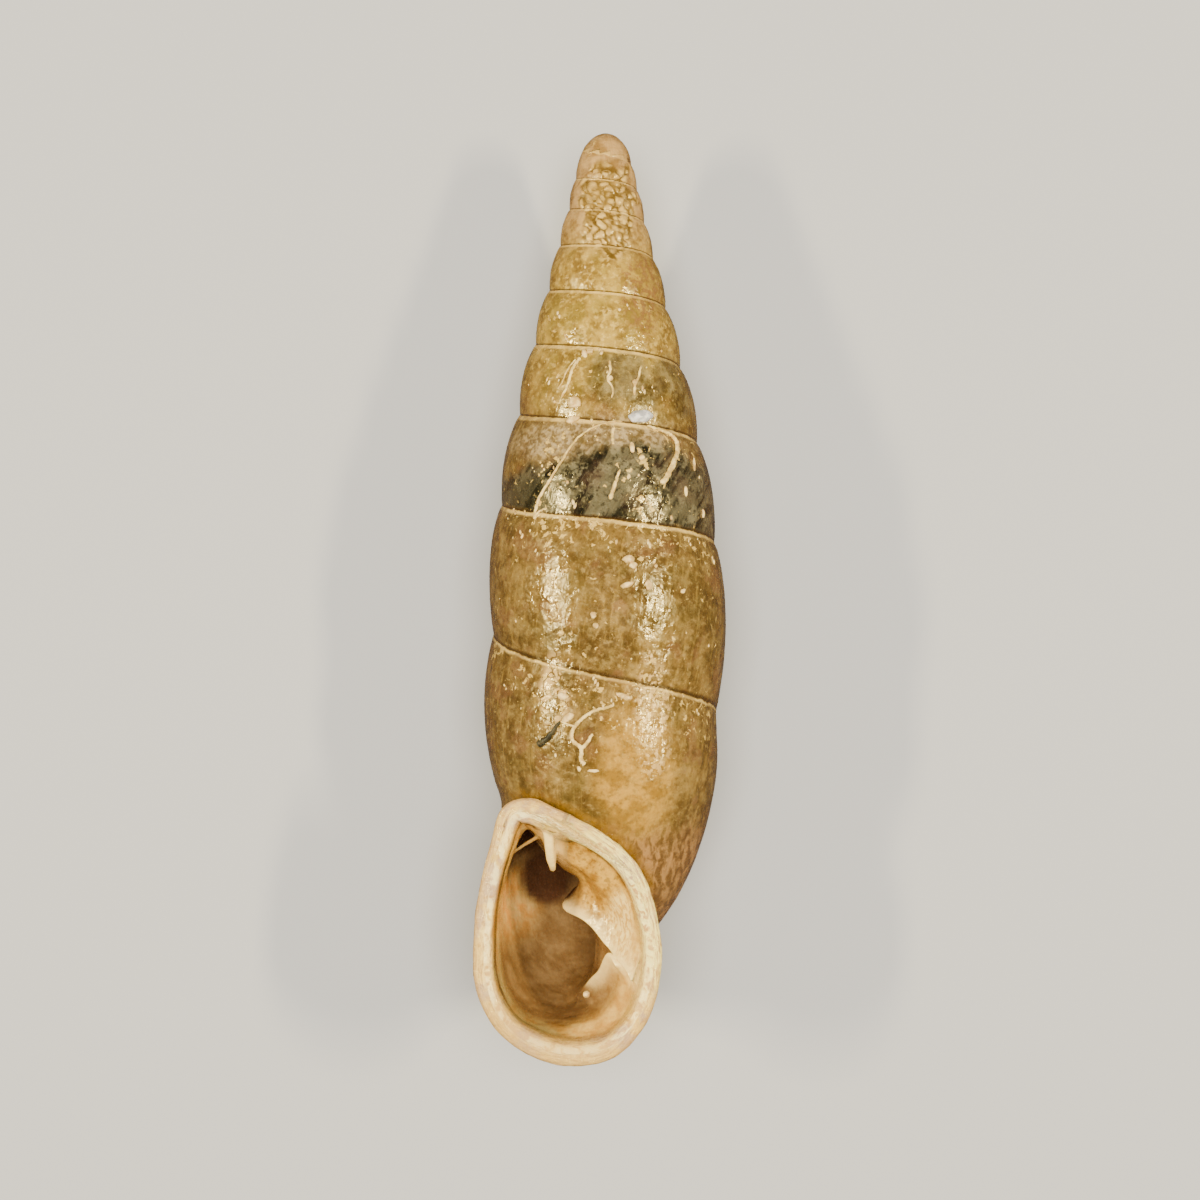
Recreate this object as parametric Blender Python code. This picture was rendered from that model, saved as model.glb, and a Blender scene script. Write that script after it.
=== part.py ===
"""A plaited door snail shell, empty, lying on its back with its mouth up.

The shell is one piece. It coils to the left. The spire and the body whorl are one sheet wound along
the suture, the neck and the lip are a loft that leaves the sheet at the left side, and the hollow is
a second loft that is cut out of both. The meshes are in millimetres, and each object is scaled to metres.

Two numbers give a place on the shell: the turn, which counts whorls from the apex and is whole at the
left side, and the drop, which is the distance from the apex along the coiling axis.
"""

import math

import bmesh
import bpy
import numpy as np
from mathutils import Vector

MM = 0.001

# Where the shell lies: +Y runs to the apex, +Z out of the mouth, and the floor is Z = 0.
REST_DROP = 9.40
AXIS_HEIGHT = 2.085
SPOT_DEPTH = 0.045

# The coil.
LAST_TURN = 9.0
SUTURE_DROP = (
    0.33, 0.58, 0.81, 1.02, 1.34, 1.60, 1.98, 2.24, 2.76, 3.11, 3.71, 4.16,
    4.94, 5.47, 6.52, 7.22, 8.77, 10.15, 11.81, 13.30, 14.90,
)  # at each half turn, from turn 0
SPINDLE = (
    (0.33, 0.40), (0.80, 0.51), (1.30, 0.61), (2.00, 0.78), (2.80, 0.98), (3.70, 1.21), (4.90, 1.48),
    (5.50, 1.62), (6.50, 1.80), (7.20, 1.91), (8.80, 1.95), (10.15, 1.955), (11.00, 1.93), (11.81, 1.80),
)  # drop and radius along the suture
BULGE_YOUNG = 0.086
BULGE_GROWN = 0.063
BULGE_SKEW = 0.85
BULGE_FULLNESS = 0.8

# The free base of the body whorl, from turn 8: widest radius, its drop below the suture, and the drop
# where it meets the axis.
BASE_TURNS = (7.5, 8.0, 8.5, 9.0)
BASE_RADIUS = (2.13, 2.12, 1.976, 1.93)
BASE_WIDEST = (1.28, 1.28, 0.78, 0.80)
BASE_END = (13.40, 13.95, 14.36, 14.88)
BASE_POWER = 1.7
# The first whorl grows out of the apex over this share of a turn.
FIRST_GROWTH = 0.4

# Outlines in planes that face the mouth, as (x, drop), from the suture round by the left and the base.
NECK_START = (
    (-1.80, 11.81), (-1.89, 12.40), (-1.94, 13.00), (-1.95, 13.60), (-1.90, 14.25), (-1.70, 14.95),
    (-1.25, 15.45), (-0.80, 15.60), (-0.35, 15.42), (-0.05, 15.00), (0.12, 14.30), (0.12, 13.60),
    (-0.10, 13.00), (-0.50, 12.50), (-1.00, 12.10), (-1.45, 11.85),
)
# How many of those corners run down the left side, from the suture round the base.
NECK_PROFILE_CORNERS = 10
LIP_EDGE = (
    (-1.72, 11.68), (-1.93, 12.30), (-2.12, 13.05), (-2.215, 13.90), (-2.17, 14.75), (-1.80, 15.48),
    (-1.114, 15.93), (-0.40, 16.04), (0.25, 15.83), (0.75, 15.20), (0.955, 14.30), (0.85, 13.40),
    (0.56, 12.65), (-0.05, 12.04), (-0.76, 11.695), (-1.25, 11.52),
)
# How wide the lip is at each of those corners, as a share of its usual width, and how far out it is raised
# there, where it climbs onto the body whorl.
LIP_WIDTH = (
    1.15, 0.98, 0.98, 1.00, 1.02, 1.06, 1.14, 1.18, 1.10, 0.98, 0.94, 0.98, 1.02, 1.10, 1.28, 1.30,
)
LIP_LIFT = (
    0.00, 0.00, 0.00, 0.00, 0.00, 0.00, 0.00, 0.00, 0.00, 0.00, 0.00, 0.02, 0.10, 0.24, 0.22, 0.06,
)
NECK_FRONT = 1.28
LIP_FLARE = 0.30

# The hollow. Its sections in the spire are (share of the radius, share of the pitch below the suture).
HOLLOW_COIL = (
    (0.86, 0.10), (0.915, 0.25), (0.93, 0.45), (0.925, 0.65), (0.89, 0.85), (0.82, 1.02), (0.68, 1.20),
    (0.48, 1.34), (0.29, 1.36), (0.19, 1.25), (0.17, 1.05), (0.17, 0.80), (0.26, 0.55), (0.47, 0.43),
    (0.66, 0.29), (0.79, 0.15),
)
# In the body whorl they are (radius, drop) at the left, front, right, back and left again.
HOLLOW_BODY_TURNS = (8.0, 8.25, 8.5, 8.75, 9.0)
HOLLOW_BODY = (
    (
        (1.72, 9.05), (1.85, 9.45), (1.90, 9.95), (1.88, 10.45), (1.82, 10.95), (1.70, 11.40),
        (1.45, 11.72), (1.10, 11.98), (0.75, 12.20), (0.50, 12.15), (0.40, 11.80), (0.36, 11.35),
        (0.40, 10.85), (0.75, 10.35), (1.15, 9.90), (1.50, 9.35),
    ),
    (
        (1.72, 9.75), (1.84, 10.15), (1.86, 10.60), (1.79, 11.05), (1.66, 11.50), (1.46, 11.95),
        (1.20, 12.35), (0.92, 12.65), (0.66, 12.75), (0.47, 12.60), (0.38, 12.20), (0.36, 11.75),
        (0.42, 11.25), (0.75, 10.75), (1.15, 10.35), (1.50, 9.98),
    ),
    (
        (1.68, 10.47), (1.79, 10.88), (1.75, 11.32), (1.64, 11.75), (1.50, 12.14), (1.31, 12.55),
        (1.07, 12.95), (0.81, 13.32), (0.58, 13.52), (0.42, 13.42), (0.36, 13.05), (0.36, 12.65),
        (0.48, 12.20), (0.82, 11.70), (1.18, 11.18), (1.46, 10.72),
    ),
    (
        (1.68, 11.26), (1.77, 11.75), (1.78, 12.25), (1.72, 12.80), (1.59, 13.35), (1.36, 13.92),
        (1.05, 14.37), (0.72, 14.55), (0.44, 14.45), (0.30, 14.15), (0.29, 13.80), (0.35, 13.45),
        (0.60, 13.05), (0.95, 12.60), (1.30, 12.05), (1.55, 11.58),
    ),
    (
        (1.58, 12.02), (1.72, 12.47), (1.78, 13.00), (1.79, 13.60), (1.74, 14.20), (1.54, 14.82),
        (1.18, 15.22), (0.76, 15.34), (0.40, 15.18), (0.20, 14.80), (0.14, 14.30), (0.22, 13.80),
        (0.38, 13.30), (0.52, 12.80), (0.90, 12.40), (1.28, 12.12),
    ),
)
HOLLOW_THROAT = (
    (-1.32, 12.12), (-1.55, 12.50), (-1.72, 13.10), (-1.80, 13.90), (-1.74, 14.70), (-1.46, 15.24),
    (-1.02, 15.47), (-0.50, 15.44), (0.00, 15.20), (0.20, 14.80), (0.30, 14.30), (0.26, 13.80),
    (0.06, 13.35), (-0.24, 12.98), (-0.60, 12.70), (-0.98, 12.42),
)
THROAT_OUT = 1.0
# Farther in, the wall between the whorls stands in front of the space behind it.
HOLLOW_WAIST = (
    (-1.40, 12.15), (-1.58, 12.55), (-1.74, 13.10), (-1.80, 13.80), (-1.75, 14.55), (-1.52, 15.10),
    (-1.10, 15.36), (-0.58, 15.36), (-0.14, 15.10), (0.02, 14.72), (0.04, 14.25), (-0.12, 13.80),
    (-0.38, 13.40), (-0.48, 13.05), (-0.76, 12.86), (-1.06, 12.60),
)
WAIST_OUT = 0.40
HOLLOW_FIRST_TURN = 3.2

# How finely the surfaces are divided.
STEPS_PER_TURN = 32
WALL_CELLS = 6
BASE_CELLS = 6
DOME_RINGS = 3
LOOP_POINTS = 28
HOLLOW_STEPS_PER_TURN = 12

SHELL_COLOUR = (0.46, 0.33, 0.16, 1.0)


def smooth(value):
    """0 to 1 with level ends."""
    held = min(1.0, max(0.0, value))
    return held * held * (3 - 2 * held)


def natural_spline(xs, ys):
    """A function that runs smoothly through the points; ys may hold numbers or pairs."""
    xs = np.array(xs, float)
    ys = np.array(ys, float)
    gaps = np.diff(xs)
    slopes = (np.diff(ys, axis=0).T / gaps).T
    bends = np.zeros_like(ys)
    system = np.diag(2 * (gaps[:-1] + gaps[1:])) + np.diag(gaps[1:-1], 1) + np.diag(gaps[1:-1], -1)
    bends[1:-1] = np.linalg.solve(system, 6 * np.diff(slopes, axis=0))

    def at(x):
        i = int(np.clip(np.searchsorted(xs, x) - 1, 0, len(gaps) - 1))
        left, right = x - xs[i], xs[i + 1] - x
        curve = (bends[i] * right**3 + bends[i + 1] * left**3) / (6 * gaps[i])
        low = ys[i] / gaps[i] - bends[i] * gaps[i] / 6
        high = ys[i + 1] / gaps[i] - bends[i + 1] * gaps[i] / 6
        return curve + low * right + high * left

    return at


suture_drop = natural_spline(np.arange(len(SUTURE_DROP)) / 2, SUTURE_DROP)
spindle_radius = natural_spline(*zip(*SPINDLE))
base_radius = natural_spline(BASE_TURNS, BASE_RADIUS)
base_widest = natural_spline(BASE_TURNS, BASE_WIDEST)
base_end = natural_spline(BASE_TURNS, BASE_END)
hollow_body = natural_spline(HOLLOW_BODY_TURNS, [np.ravel(section) for section in HOLLOW_BODY])


def suture(turn):
    """Radius and drop of the suture at a turn."""
    drop = suture_drop(turn)
    return spindle_radius(min(drop, SPINDLE[-1][0])), drop


def bulge(share):
    """How far a whorl stands out between its two sutures, from 0 to 1."""
    return math.sin(math.pi * min(share, 1.0) ** BULGE_SKEW) ** BULGE_FULLNESS if 0 < share < 1 else 0.0


def whorl_radius(turn, drop):
    """Radius of a whorl that has another below it."""
    (r0, d0), (r1, d1) = suture(turn), suture(turn + 1)
    share = (drop - d0) / (d1 - d0)
    ratio = BULGE_YOUNG + (BULGE_GROWN - BULGE_YOUNG) * smooth((turn - 5) / 3)
    return r0 + (r1 - r0) * share + ratio * (d1 - d0) * bulge(share)


def free_radius(turn, drop):
    """Radius of the body whorl where nothing is below it: a shoulder, then a base that tapers to the axis."""
    r0, d0 = suture(turn)
    widest = base_radius(turn)
    top = d0 + base_widest(turn)
    if drop < top:
        share = (top - drop) / (top - d0)
        return r0 + (widest - r0) * (1 - share**2.2)
    share = min(1.0, (drop - top) / (base_end(turn) - top))
    return widest * (1 - share**BASE_POWER) ** (1 / BASE_POWER)


def closed_curve(corners, count):
    """Points spread along a smooth closed curve through the corners, starting at the first."""
    corners = np.array(corners, float)
    n = len(corners)
    found = []
    for i in range(count):
        at = i * n / count
        j, t = int(at), at - int(at)
        p0, p1, p2, p3 = (corners[(j + k) % n] for k in (-1, 0, 1, 2))
        found.append(
            0.5 * (2 * p1 + (p2 - p0) * t + (2 * p0 - 5 * p1 + 4 * p2 - p3) * t**2
                   + (3 * p1 - p0 - 3 * p2 + p3) * t**3)
        )
    return np.array(found)


def inset(loop, distance):
    """The loop moved inwards by a distance, or by one distance for each point."""
    along = np.roll(loop, -1, axis=0) - np.roll(loop, 1, axis=0)
    along /= np.linalg.norm(along, axis=1)[:, None]
    return loop + np.reshape(distance, (-1, 1)) * np.stack([along[:, 1], -along[:, 0]], axis=1)


def pear_profile(share):
    """(radius, drop) of the section at the left side, from the suture (0) round the base to the axis (1)."""
    corners = [(-x, drop) for x, drop in NECK_START[:NECK_PROFILE_CORNERS]] + [(0.0, 14.88)]
    at = share * (len(corners) - 1)
    return natural_spline(range(len(corners)), corners)(at)


def shell_profile(turn, share):
    """(radius, drop) on the outside at a turn. Share 0 is the suture, 1 the next suture and 2 the axis."""
    r0, d0 = suture(turn)
    d1 = suture_drop(turn + 1)
    free = smooth((turn - 7.5) / 0.5)
    if share <= 1:
        drop = d0 + (d1 - d0) * share
        radius = whorl_radius(turn, drop) if turn <= 8 else 0.0
        if free > 0:
            radius += free * (free_radius(turn, drop) - radius)
    else:
        # Steps that shorten towards the axis, where the base is steep.
        drop = d1 + (base_end(turn) - d1) * math.sin((share - 1) * math.pi / 2)
        radius = free_radius(turn, drop) if share < 2 else 0.0
    if turn > 8:
        fitted = smooth((turn - 8.4) / 0.6)
        pear_r, pear_d = pear_profile(share / 2)
        radius += fitted * (pear_r - radius)
        drop += fitted * (pear_d + (d0 - suture_drop(LAST_TURN)) * (1 - share / 2) - drop)
    elif share <= 1 and turn > 7.5:
        # The end of this stretch is the suture of the whorl below, exactly.
        r1, _ = suture(turn + 1)
        radius += share * (r1 - free * free_radius(turn, d1) - (1 - free) * whorl_radius(turn, d1))
    if turn < FIRST_GROWTH:
        grown = smooth(turn / FIRST_GROWTH)
        r1, _ = suture(turn + 1)
        radius = r1 + grown * (radius - r1)
        drop = d1 + grown * (drop - d1)
    return radius, drop


def place(radius, drop, turn):
    """A point at a radius and drop, at a turn."""
    angle = 2 * math.pi * turn - math.pi / 2
    return place_flat(radius * math.sin(angle), drop, radius * math.cos(angle))


def place_flat(x, drop, out):
    """A point at x and drop, at a distance out from the axis towards the mouth."""
    return Vector((x, REST_DROP - drop, AXIS_HEIGHT + out - SPOT_DEPTH))


def mesh_object(name, points, faces, collection):
    mesh = bpy.data.meshes.new(name)
    mesh.from_pydata([tuple(p) for p in points], [], faces)
    mesh.validate()
    made = bpy.data.objects.new(name, mesh)
    made.scale = (MM, MM, MM)
    collection.objects.link(made)
    shape = bmesh.new()
    shape.from_mesh(mesh)
    bmesh.ops.remove_doubles(shape, verts=shape.verts, dist=1e-4)
    bmesh.ops.recalc_face_normals(shape, faces=shape.faces)
    shape.to_mesh(mesh)
    shape.free()
    return made


def coil_object(name, collection):
    """The spire and the body whorl, closed at the apex by a dome and at the left side by a flat face."""
    points, faces = [], []
    steps = round(LAST_TURN * STEPS_PER_TURN)
    lap = STEPS_PER_TURN
    walls = np.zeros((steps + 1, WALL_CELLS + 1), int)
    for i in range(steps + 1):
        turn = i / STEPS_PER_TURN
        for j in range(WALL_CELLS + 1):
            if i >= lap and j == 0:
                walls[i, 0] = walls[i - lap, WALL_CELLS]
                continue
            walls[i, j] = len(points)
            points.append(place(*shell_profile(turn, j / WALL_CELLS), turn))
    for i in range(steps):
        for j in range(WALL_CELLS):
            faces.append((walls[i, j], walls[i, j + 1], walls[i + 1, j + 1], walls[i + 1, j]))
    # The base, over the last turn.
    first = steps - lap
    bases = np.zeros((lap + 1, BASE_CELLS + 1), int)
    for i in range(lap + 1):
        turn = (first + i) / STEPS_PER_TURN
        bases[i, 0] = walls[first + i, WALL_CELLS]
        for j in range(1, BASE_CELLS + 1):
            bases[i, j] = len(points)
            points.append(place(*shell_profile(turn, 1 + j / BASE_CELLS), turn))
    for i in range(lap):
        for j in range(BASE_CELLS):
            faces.append((bases[i, j], bases[i, j + 1], bases[i + 1, j + 1], bases[i + 1, j]))
    # The flat face at the left side, and the dome over the first turn.
    faces.append(
        [*walls[steps], *bases[lap, 1:], *bases[lap - 1::-1, BASE_CELLS], *bases[0, BASE_CELLS - 1:0:-1]]
    )
    rim = [*walls[:lap, 0]]
    top = place_flat(0.0, 0.0, 0.0)
    ring = rim
    for step in range(1, DOME_RINGS + 1):
        rise = step / (DOME_RINGS + 1) * math.pi / 2
        above = []
        for v in rim:
            at = points[v]
            above.append(len(points))
            points.append(Vector((
                at.x * math.cos(rise),
                at.y + (top.y - at.y) * math.sin(rise),
                top.z + (at.z - top.z) * math.cos(rise),
            )))
        for k in range(len(rim)):
            following = (k + 1) % len(rim)
            faces.append((ring[k], ring[following], above[following], above[k]))
        ring = above
    points.append(top)
    for k in range(len(ring)):
        faces.append((ring[k], ring[(k + 1) % len(ring)], len(points) - 1))
    return mesh_object(name, points, faces, collection)


def loft_object(name, rings, collection):
    """A closed solid through rings that have the same number of points."""
    count = len(rings[0])
    points = [p for ring in rings for p in ring]
    faces = [list(range(count)), list(range(len(points) - 1, len(points) - count - 1, -1))]
    for i in range(len(rings) - 1):
        for j in range(count):
            a, b = i * count + j, i * count + (j + 1) % count
            faces.append((a, b, b + count, a + count))
    return mesh_object(name, points, faces, collection)


def flat_ring(loop, out):
    """The loop in a plane that faces the mouth; out may hold one distance for each point."""
    return [place_flat(x, drop, far) for (x, drop), far in zip(loop, np.broadcast_to(out, len(loop)))]


def lip_loops():
    """The lip's edge, and how wide and how raised it is at each point of that edge."""
    corners = [(*corner, width, lift) for corner, width, lift in zip(LIP_EDGE, LIP_WIDTH, LIP_LIFT)]
    both = closed_curve(corners, LOOP_POINTS)
    return both[:, :2], both[:, 2], both[:, 3]


def neck_object(name, collection):
    """The last stretch of the whorl, from the left side forward, and the lip that it flares into."""
    start = closed_curve(NECK_START, LOOP_POINTS)
    edge, _, lift = lip_loops()
    neck = inset(edge, LIP_FLARE + lift)
    rings = [flat_ring(inset(start, 0.10), -0.25), flat_ring(inset(start, 0.002), 0.0)]
    for out in (0.25, 0.55, 0.85, 1.1, NECK_FRONT):
        share = smooth(out / NECK_FRONT)
        rings.append(flat_ring(start + (neck - start) * share, out))
    for distance, out in ((0.20, 1.42), (0.07, 1.53), (0.0, 1.60), (0.02, 1.66), (0.09, 1.695), (0.20, 1.70)):
        raised = smooth((out - 1.36) / 0.28)
        rings.append(flat_ring(inset(edge, distance + lift * (1 - raised)), out + lift * raised))
    return loft_object(name, rings, collection)


def hollow_section(turn):
    """The hollow at a turn, as (radius, drop)."""
    body = closed_curve(hollow_body(max(turn, 8.0)).reshape(-1, 2), LOOP_POINTS)
    if turn >= 8:
        return body
    d0 = suture_drop(turn)
    pitch = suture_drop(turn + 1) - d0
    radius = whorl_radius(turn, d0 + 0.5 * pitch)
    spire = closed_curve(HOLLOW_COIL, LOOP_POINTS) * (radius, pitch) + (0.0, d0)
    body += (0.0, d0 - suture_drop(8.0))
    return body + (spire - body) * smooth((8.0 - turn) / 0.5)


def hollow_object(name, collection):
    """The space inside, from in front of the lip back round the axis and up the coil."""
    edge, width, lift = lip_loops()
    throat = closed_curve(HOLLOW_THROAT, LOOP_POINTS)
    waist = closed_curve(HOLLOW_WAIST, LOOP_POINTS)
    left = hollow_section(LAST_TURN) * np.array([-1, 1])
    rings = []
    for distance, out in ((0.16, 1.80), (0.20, 1.70), (0.27, 1.66), (0.33, 1.52)):
        rings.append(flat_ring(inset(edge, distance * width), out + lift * smooth((out - 1.3) / 0.35)))
    mouth = inset(edge, 0.36 * width)
    for out in (1.36, 1.18, THROAT_OUT):
        share = smooth((1.36 - out) / 0.36)
        rings.append(flat_ring(mouth + (throat - mouth) * share, out))
    for out in (0.70, WAIST_OUT):
        share = (THROAT_OUT - out) / (THROAT_OUT - WAIST_OUT)
        rings.append(flat_ring(throat + (waist - throat) * share, out))
    rings.append(flat_ring((waist + left) / 2, WAIST_OUT / 2))
    steps = round((LAST_TURN - HOLLOW_FIRST_TURN) * HOLLOW_STEPS_PER_TURN)
    for i in range(steps + 1):
        turn = LAST_TURN - i / HOLLOW_STEPS_PER_TURN
        rings.append([place(r, drop, turn) for r, drop in hollow_section(turn)])
    return loft_object(name, rings, collection)


def fin_object(name, stations, collection):
    """A ridge. Each station is (out, root, crest, root half width, crest half width), points as (x, drop)."""
    rings = []
    for out, root, crest, wide, narrow in stations:
        root, crest = Vector(root), Vector(crest)
        up = (crest - root).normalized()
        side = Vector((-up.y, up.x))
        middle = root.lerp(crest, 0.55)
        ring = [root + side * wide, middle + side * (wide + narrow) / 2, crest + side * narrow * 0.8,
                crest + up * narrow * 0.6, crest - side * narrow * 0.8, middle - side * (wide + narrow) / 2,
                root - side * wide]
        rings.append([place_flat(p.x, p.y, out) for p in ring])
    return loft_object(name, rings, collection)


def shelf_object(name, stations, collection):
    """A fold with a long slope above and a steep face below, through (out, root above, crest, root below)."""
    rings = []
    for out, above, crest, below in stations:
        above, crest, below = Vector(above), Vector(crest), Vector(below)
        tip = (crest - above.lerp(below, 0.5)).normalized() * 0.05
        upper = crest - tip + Vector((-tip.y, tip.x)) * 0.8
        lower = crest - tip - Vector((-tip.y, tip.x)) * 0.8
        if (upper - above).length > (lower - above).length:
            upper, lower = lower, upper
        ring = [above, above.lerp(upper, 0.6) + Vector((0.05, 0.0)), upper, crest, lower, lower.lerp(below, 0.5), below]
        rings.append([place_flat(p.x, p.y, out) for p in ring])
    return loft_object(name, rings, collection)


# The folds in the mouth, from front to back.
SUPERIOR_FOLD = (
    (1.58, (-0.97, 11.85), (-0.95, 12.10), 0.07, 0.04),
    (1.42, (-0.97, 11.85), (-0.93, 12.42), 0.09, 0.05),
    (1.18, (-0.97, 11.90), (-0.92, 12.74), 0.10, 0.05),
    (0.90, (-0.97, 11.95), (-0.92, 12.86), 0.10, 0.045),
    (0.50, (-0.98, 12.05), (-0.95, 12.80), 0.09, 0.04),
    (0.05, (-1.00, 12.20), (-0.98, 12.62), 0.08, 0.04),
)
INFERIOR_FOLD = (
    (1.26, (0.52, 13.80), (0.32, 14.46), (0.62, 14.75)),
    (1.00, (0.27, 13.32), (0.083, 14.19), (0.44, 14.50)),
    (0.75, (-0.03, 13.10), (-0.226, 13.85), (0.30, 14.20)),
    (0.60, (-0.22, 13.00), (-0.434, 13.70), (0.20, 14.05)),
    (0.45, (-0.36, 12.95), (-0.574, 13.654), (0.08, 13.95)),
    (0.30, (-0.38, 12.98), (-0.733, 13.571), (-0.05, 13.85)),
    (0.12, (-0.36, 13.02), (-0.70, 13.45), (-0.10, 13.70)),
    (-0.15, (-0.32, 13.00), (-0.55, 13.30), (-0.15, 13.50)),
)


def add_boolean(target, cutter, operation, solver="EXACT"):
    step = target.modifiers.new(f"{operation.lower()} {cutter.name}", "BOOLEAN")
    step.operation = operation
    step.object = cutter
    step.solver = solver
    cutter.hide_render = True
    cutter.display_type = "WIRE"


def floor_block(collection):
    """What the flat rest spot is cut with: everything below the floor."""
    bpy.ops.mesh.primitive_cube_add(size=1)
    block = bpy.context.object
    block.name = "floor_block"
    block.scale = (12, 30, 2)
    block.location = (0, 0, -1)
    bpy.ops.object.transform_apply(location=True, scale=True)
    block.scale = (MM, MM, MM)
    for home in block.users_collection:
        home.objects.unlink(block)
    collection.objects.link(block)
    return block


def shell_material():
    material = bpy.data.materials.new("horn brown shell")
    material.use_nodes = True
    shader = material.node_tree.nodes["Principled BSDF"]
    shader.inputs["Base Color"].default_value = SHELL_COLOUR
    shader.inputs["Roughness"].default_value = 0.35
    shader.inputs["Metallic"].default_value = 0.0
    return material


def main():
    for old in list(bpy.data.objects):
        bpy.data.objects.remove(old)
    parts = bpy.data.collections.new("door_snail_shell")
    cutters = bpy.data.collections.new("cutters")
    for made in (parts, cutters):
        bpy.context.scene.collection.children.link(made)
    shell = coil_object("shell", parts)
    add_boolean(shell, neck_object("neck", cutters), "UNION")
    # The exact solver loses the shell at the hollow, and the manifold one keeps it.
    add_boolean(shell, hollow_object("hollow", cutters), "DIFFERENCE", "MANIFOLD")
    add_boolean(shell, fin_object("superior_fold", SUPERIOR_FOLD, cutters), "UNION", "MANIFOLD")
    add_boolean(shell, shelf_object("inferior_fold", INFERIOR_FOLD, cutters), "UNION", "MANIFOLD")
    add_boolean(shell, floor_block(cutters), "DIFFERENCE", "MANIFOLD")
    shell.data.materials.append(shell_material())


main()
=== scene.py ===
"""The looks of an empty plaited door snail shell that lies on its back on a pale floor.

The shell's mesh is shaped in millimetres and scaled to metres when it is finished. A place on it has two
numbers: the turn, which counts whorls from the apex and is whole at the left side, and the drop, which is
the distance from the apex along the coiling axis. "Out" is the distance from that axis to the mouth's side.
"""

import math

import bmesh
import bpy
import numpy as np
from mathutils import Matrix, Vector, noise
from mathutils.bvhtree import BVHTree


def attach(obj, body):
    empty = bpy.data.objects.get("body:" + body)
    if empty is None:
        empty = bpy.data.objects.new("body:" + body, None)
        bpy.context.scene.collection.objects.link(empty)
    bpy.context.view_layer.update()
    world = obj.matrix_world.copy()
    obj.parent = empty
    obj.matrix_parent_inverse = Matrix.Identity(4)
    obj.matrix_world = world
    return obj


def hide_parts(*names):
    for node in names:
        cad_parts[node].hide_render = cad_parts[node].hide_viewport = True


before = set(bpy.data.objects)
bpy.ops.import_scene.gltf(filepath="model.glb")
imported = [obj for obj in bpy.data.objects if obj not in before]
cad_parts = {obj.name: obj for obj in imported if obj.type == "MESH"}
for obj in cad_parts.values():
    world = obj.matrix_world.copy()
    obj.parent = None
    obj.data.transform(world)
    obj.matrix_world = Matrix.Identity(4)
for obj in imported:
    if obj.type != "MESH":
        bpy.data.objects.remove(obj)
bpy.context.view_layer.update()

MM = 0.001
REST_DROP = 9.40
AXIS_HEIGHT = 2.04

# The coil, as in the solid.
LAST_TURN = 9.0
SUTURE_DROP = (
    0.33, 0.58, 0.81, 1.02, 1.34, 1.60, 1.98, 2.24, 2.76, 3.11, 3.71, 4.16,
    4.94, 5.47, 6.52, 7.22, 8.77, 10.15, 11.81, 13.30, 14.90,
)
SPINDLE = (
    (0.33, 0.40), (0.80, 0.51), (1.30, 0.61), (2.00, 0.78), (2.80, 0.98), (3.70, 1.21), (4.90, 1.48),
    (5.50, 1.62), (6.50, 1.80), (7.20, 1.91), (8.80, 1.95), (10.15, 1.955), (11.00, 1.93), (11.81, 1.80),
)
BULGE_YOUNG = 0.086
BULGE_GROWN = 0.063
BULGE_SKEW = 0.85
BULGE_FULLNESS = 0.8
BASE_TURNS = (7.5, 8.0, 8.5, 9.0)
BASE_RADIUS = (2.13, 2.12, 1.976, 1.93)
BASE_WIDEST = (1.28, 1.28, 0.78, 0.80)
BASE_END = (13.40, 13.95, 14.36, 14.88)
BASE_POWER = 1.7
FIRST_GROWTH = 0.4

# Outlines in planes that face the mouth, as (x, drop), from the suture round by the left and the base.
NECK_START = (
    (-1.80, 11.81), (-1.89, 12.40), (-1.94, 13.00), (-1.95, 13.60), (-1.90, 14.25), (-1.70, 14.95),
    (-1.25, 15.45), (-0.80, 15.60), (-0.35, 15.42), (-0.05, 15.00), (0.12, 14.30), (0.12, 13.60),
    (-0.10, 13.00), (-0.50, 12.50), (-1.00, 12.10), (-1.45, 11.85),
)
NECK_PROFILE_CORNERS = 10
LIP_EDGE = (
    (-1.72, 11.68), (-1.93, 12.30), (-2.12, 13.05), (-2.215, 13.90), (-2.17, 14.75), (-1.80, 15.48),
    (-1.114, 15.93), (-0.40, 16.04), (0.25, 15.83), (0.75, 15.20), (0.955, 14.30), (0.85, 13.40),
    (0.56, 12.65), (-0.05, 12.04), (-0.76, 11.695), (-1.25, 11.52),
)
# How wide the lip is at each of those corners, as a share of its usual width.
LIP_WIDTH = (
    1.15, 0.98, 0.98, 1.00, 1.02, 1.06, 1.14, 1.18, 1.10, 0.98, 0.94, 0.98, 1.02, 1.10, 1.28, 1.30,
)
# How far out it is raised there, where it climbs onto the body whorl.
LIP_LIFT = (
    0.00, 0.00, 0.00, 0.00, 0.00, 0.00, 0.00, 0.00, 0.00, 0.00, 0.00, 0.02, 0.10, 0.24, 0.22, 0.06,
)
# The climb begins this far out and takes this much more: on the lip's outer half, and in its mouth.
CLIMB_OUTSIDE = (1.36, 0.28)
CLIMB_INSIDE = (1.3, 0.35)
NECK_FRONT = 1.28
LIP_FLARE = 0.30
# The lip's outer half and inner half, as (inset from its edge, out).
LIP_OUTER = (
    (0.24, 1.36), (0.16, 1.45), (0.085, 1.52), (0.03, 1.565), (0.0, 1.605), (0.005, 1.64),
    (0.03, 1.67), (0.07, 1.69), (0.12, 1.70), (0.17, 1.703),
)
LIP_INNER = (
    (0.145, 1.80), (0.175, 1.700), (0.20, 1.694), (0.215, 1.683), (0.235, 1.690), (0.27, 1.684),
    (0.305, 1.655), (0.33, 1.61), (0.348, 1.55), (0.358, 1.47), (0.365, 1.38),
)

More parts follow.
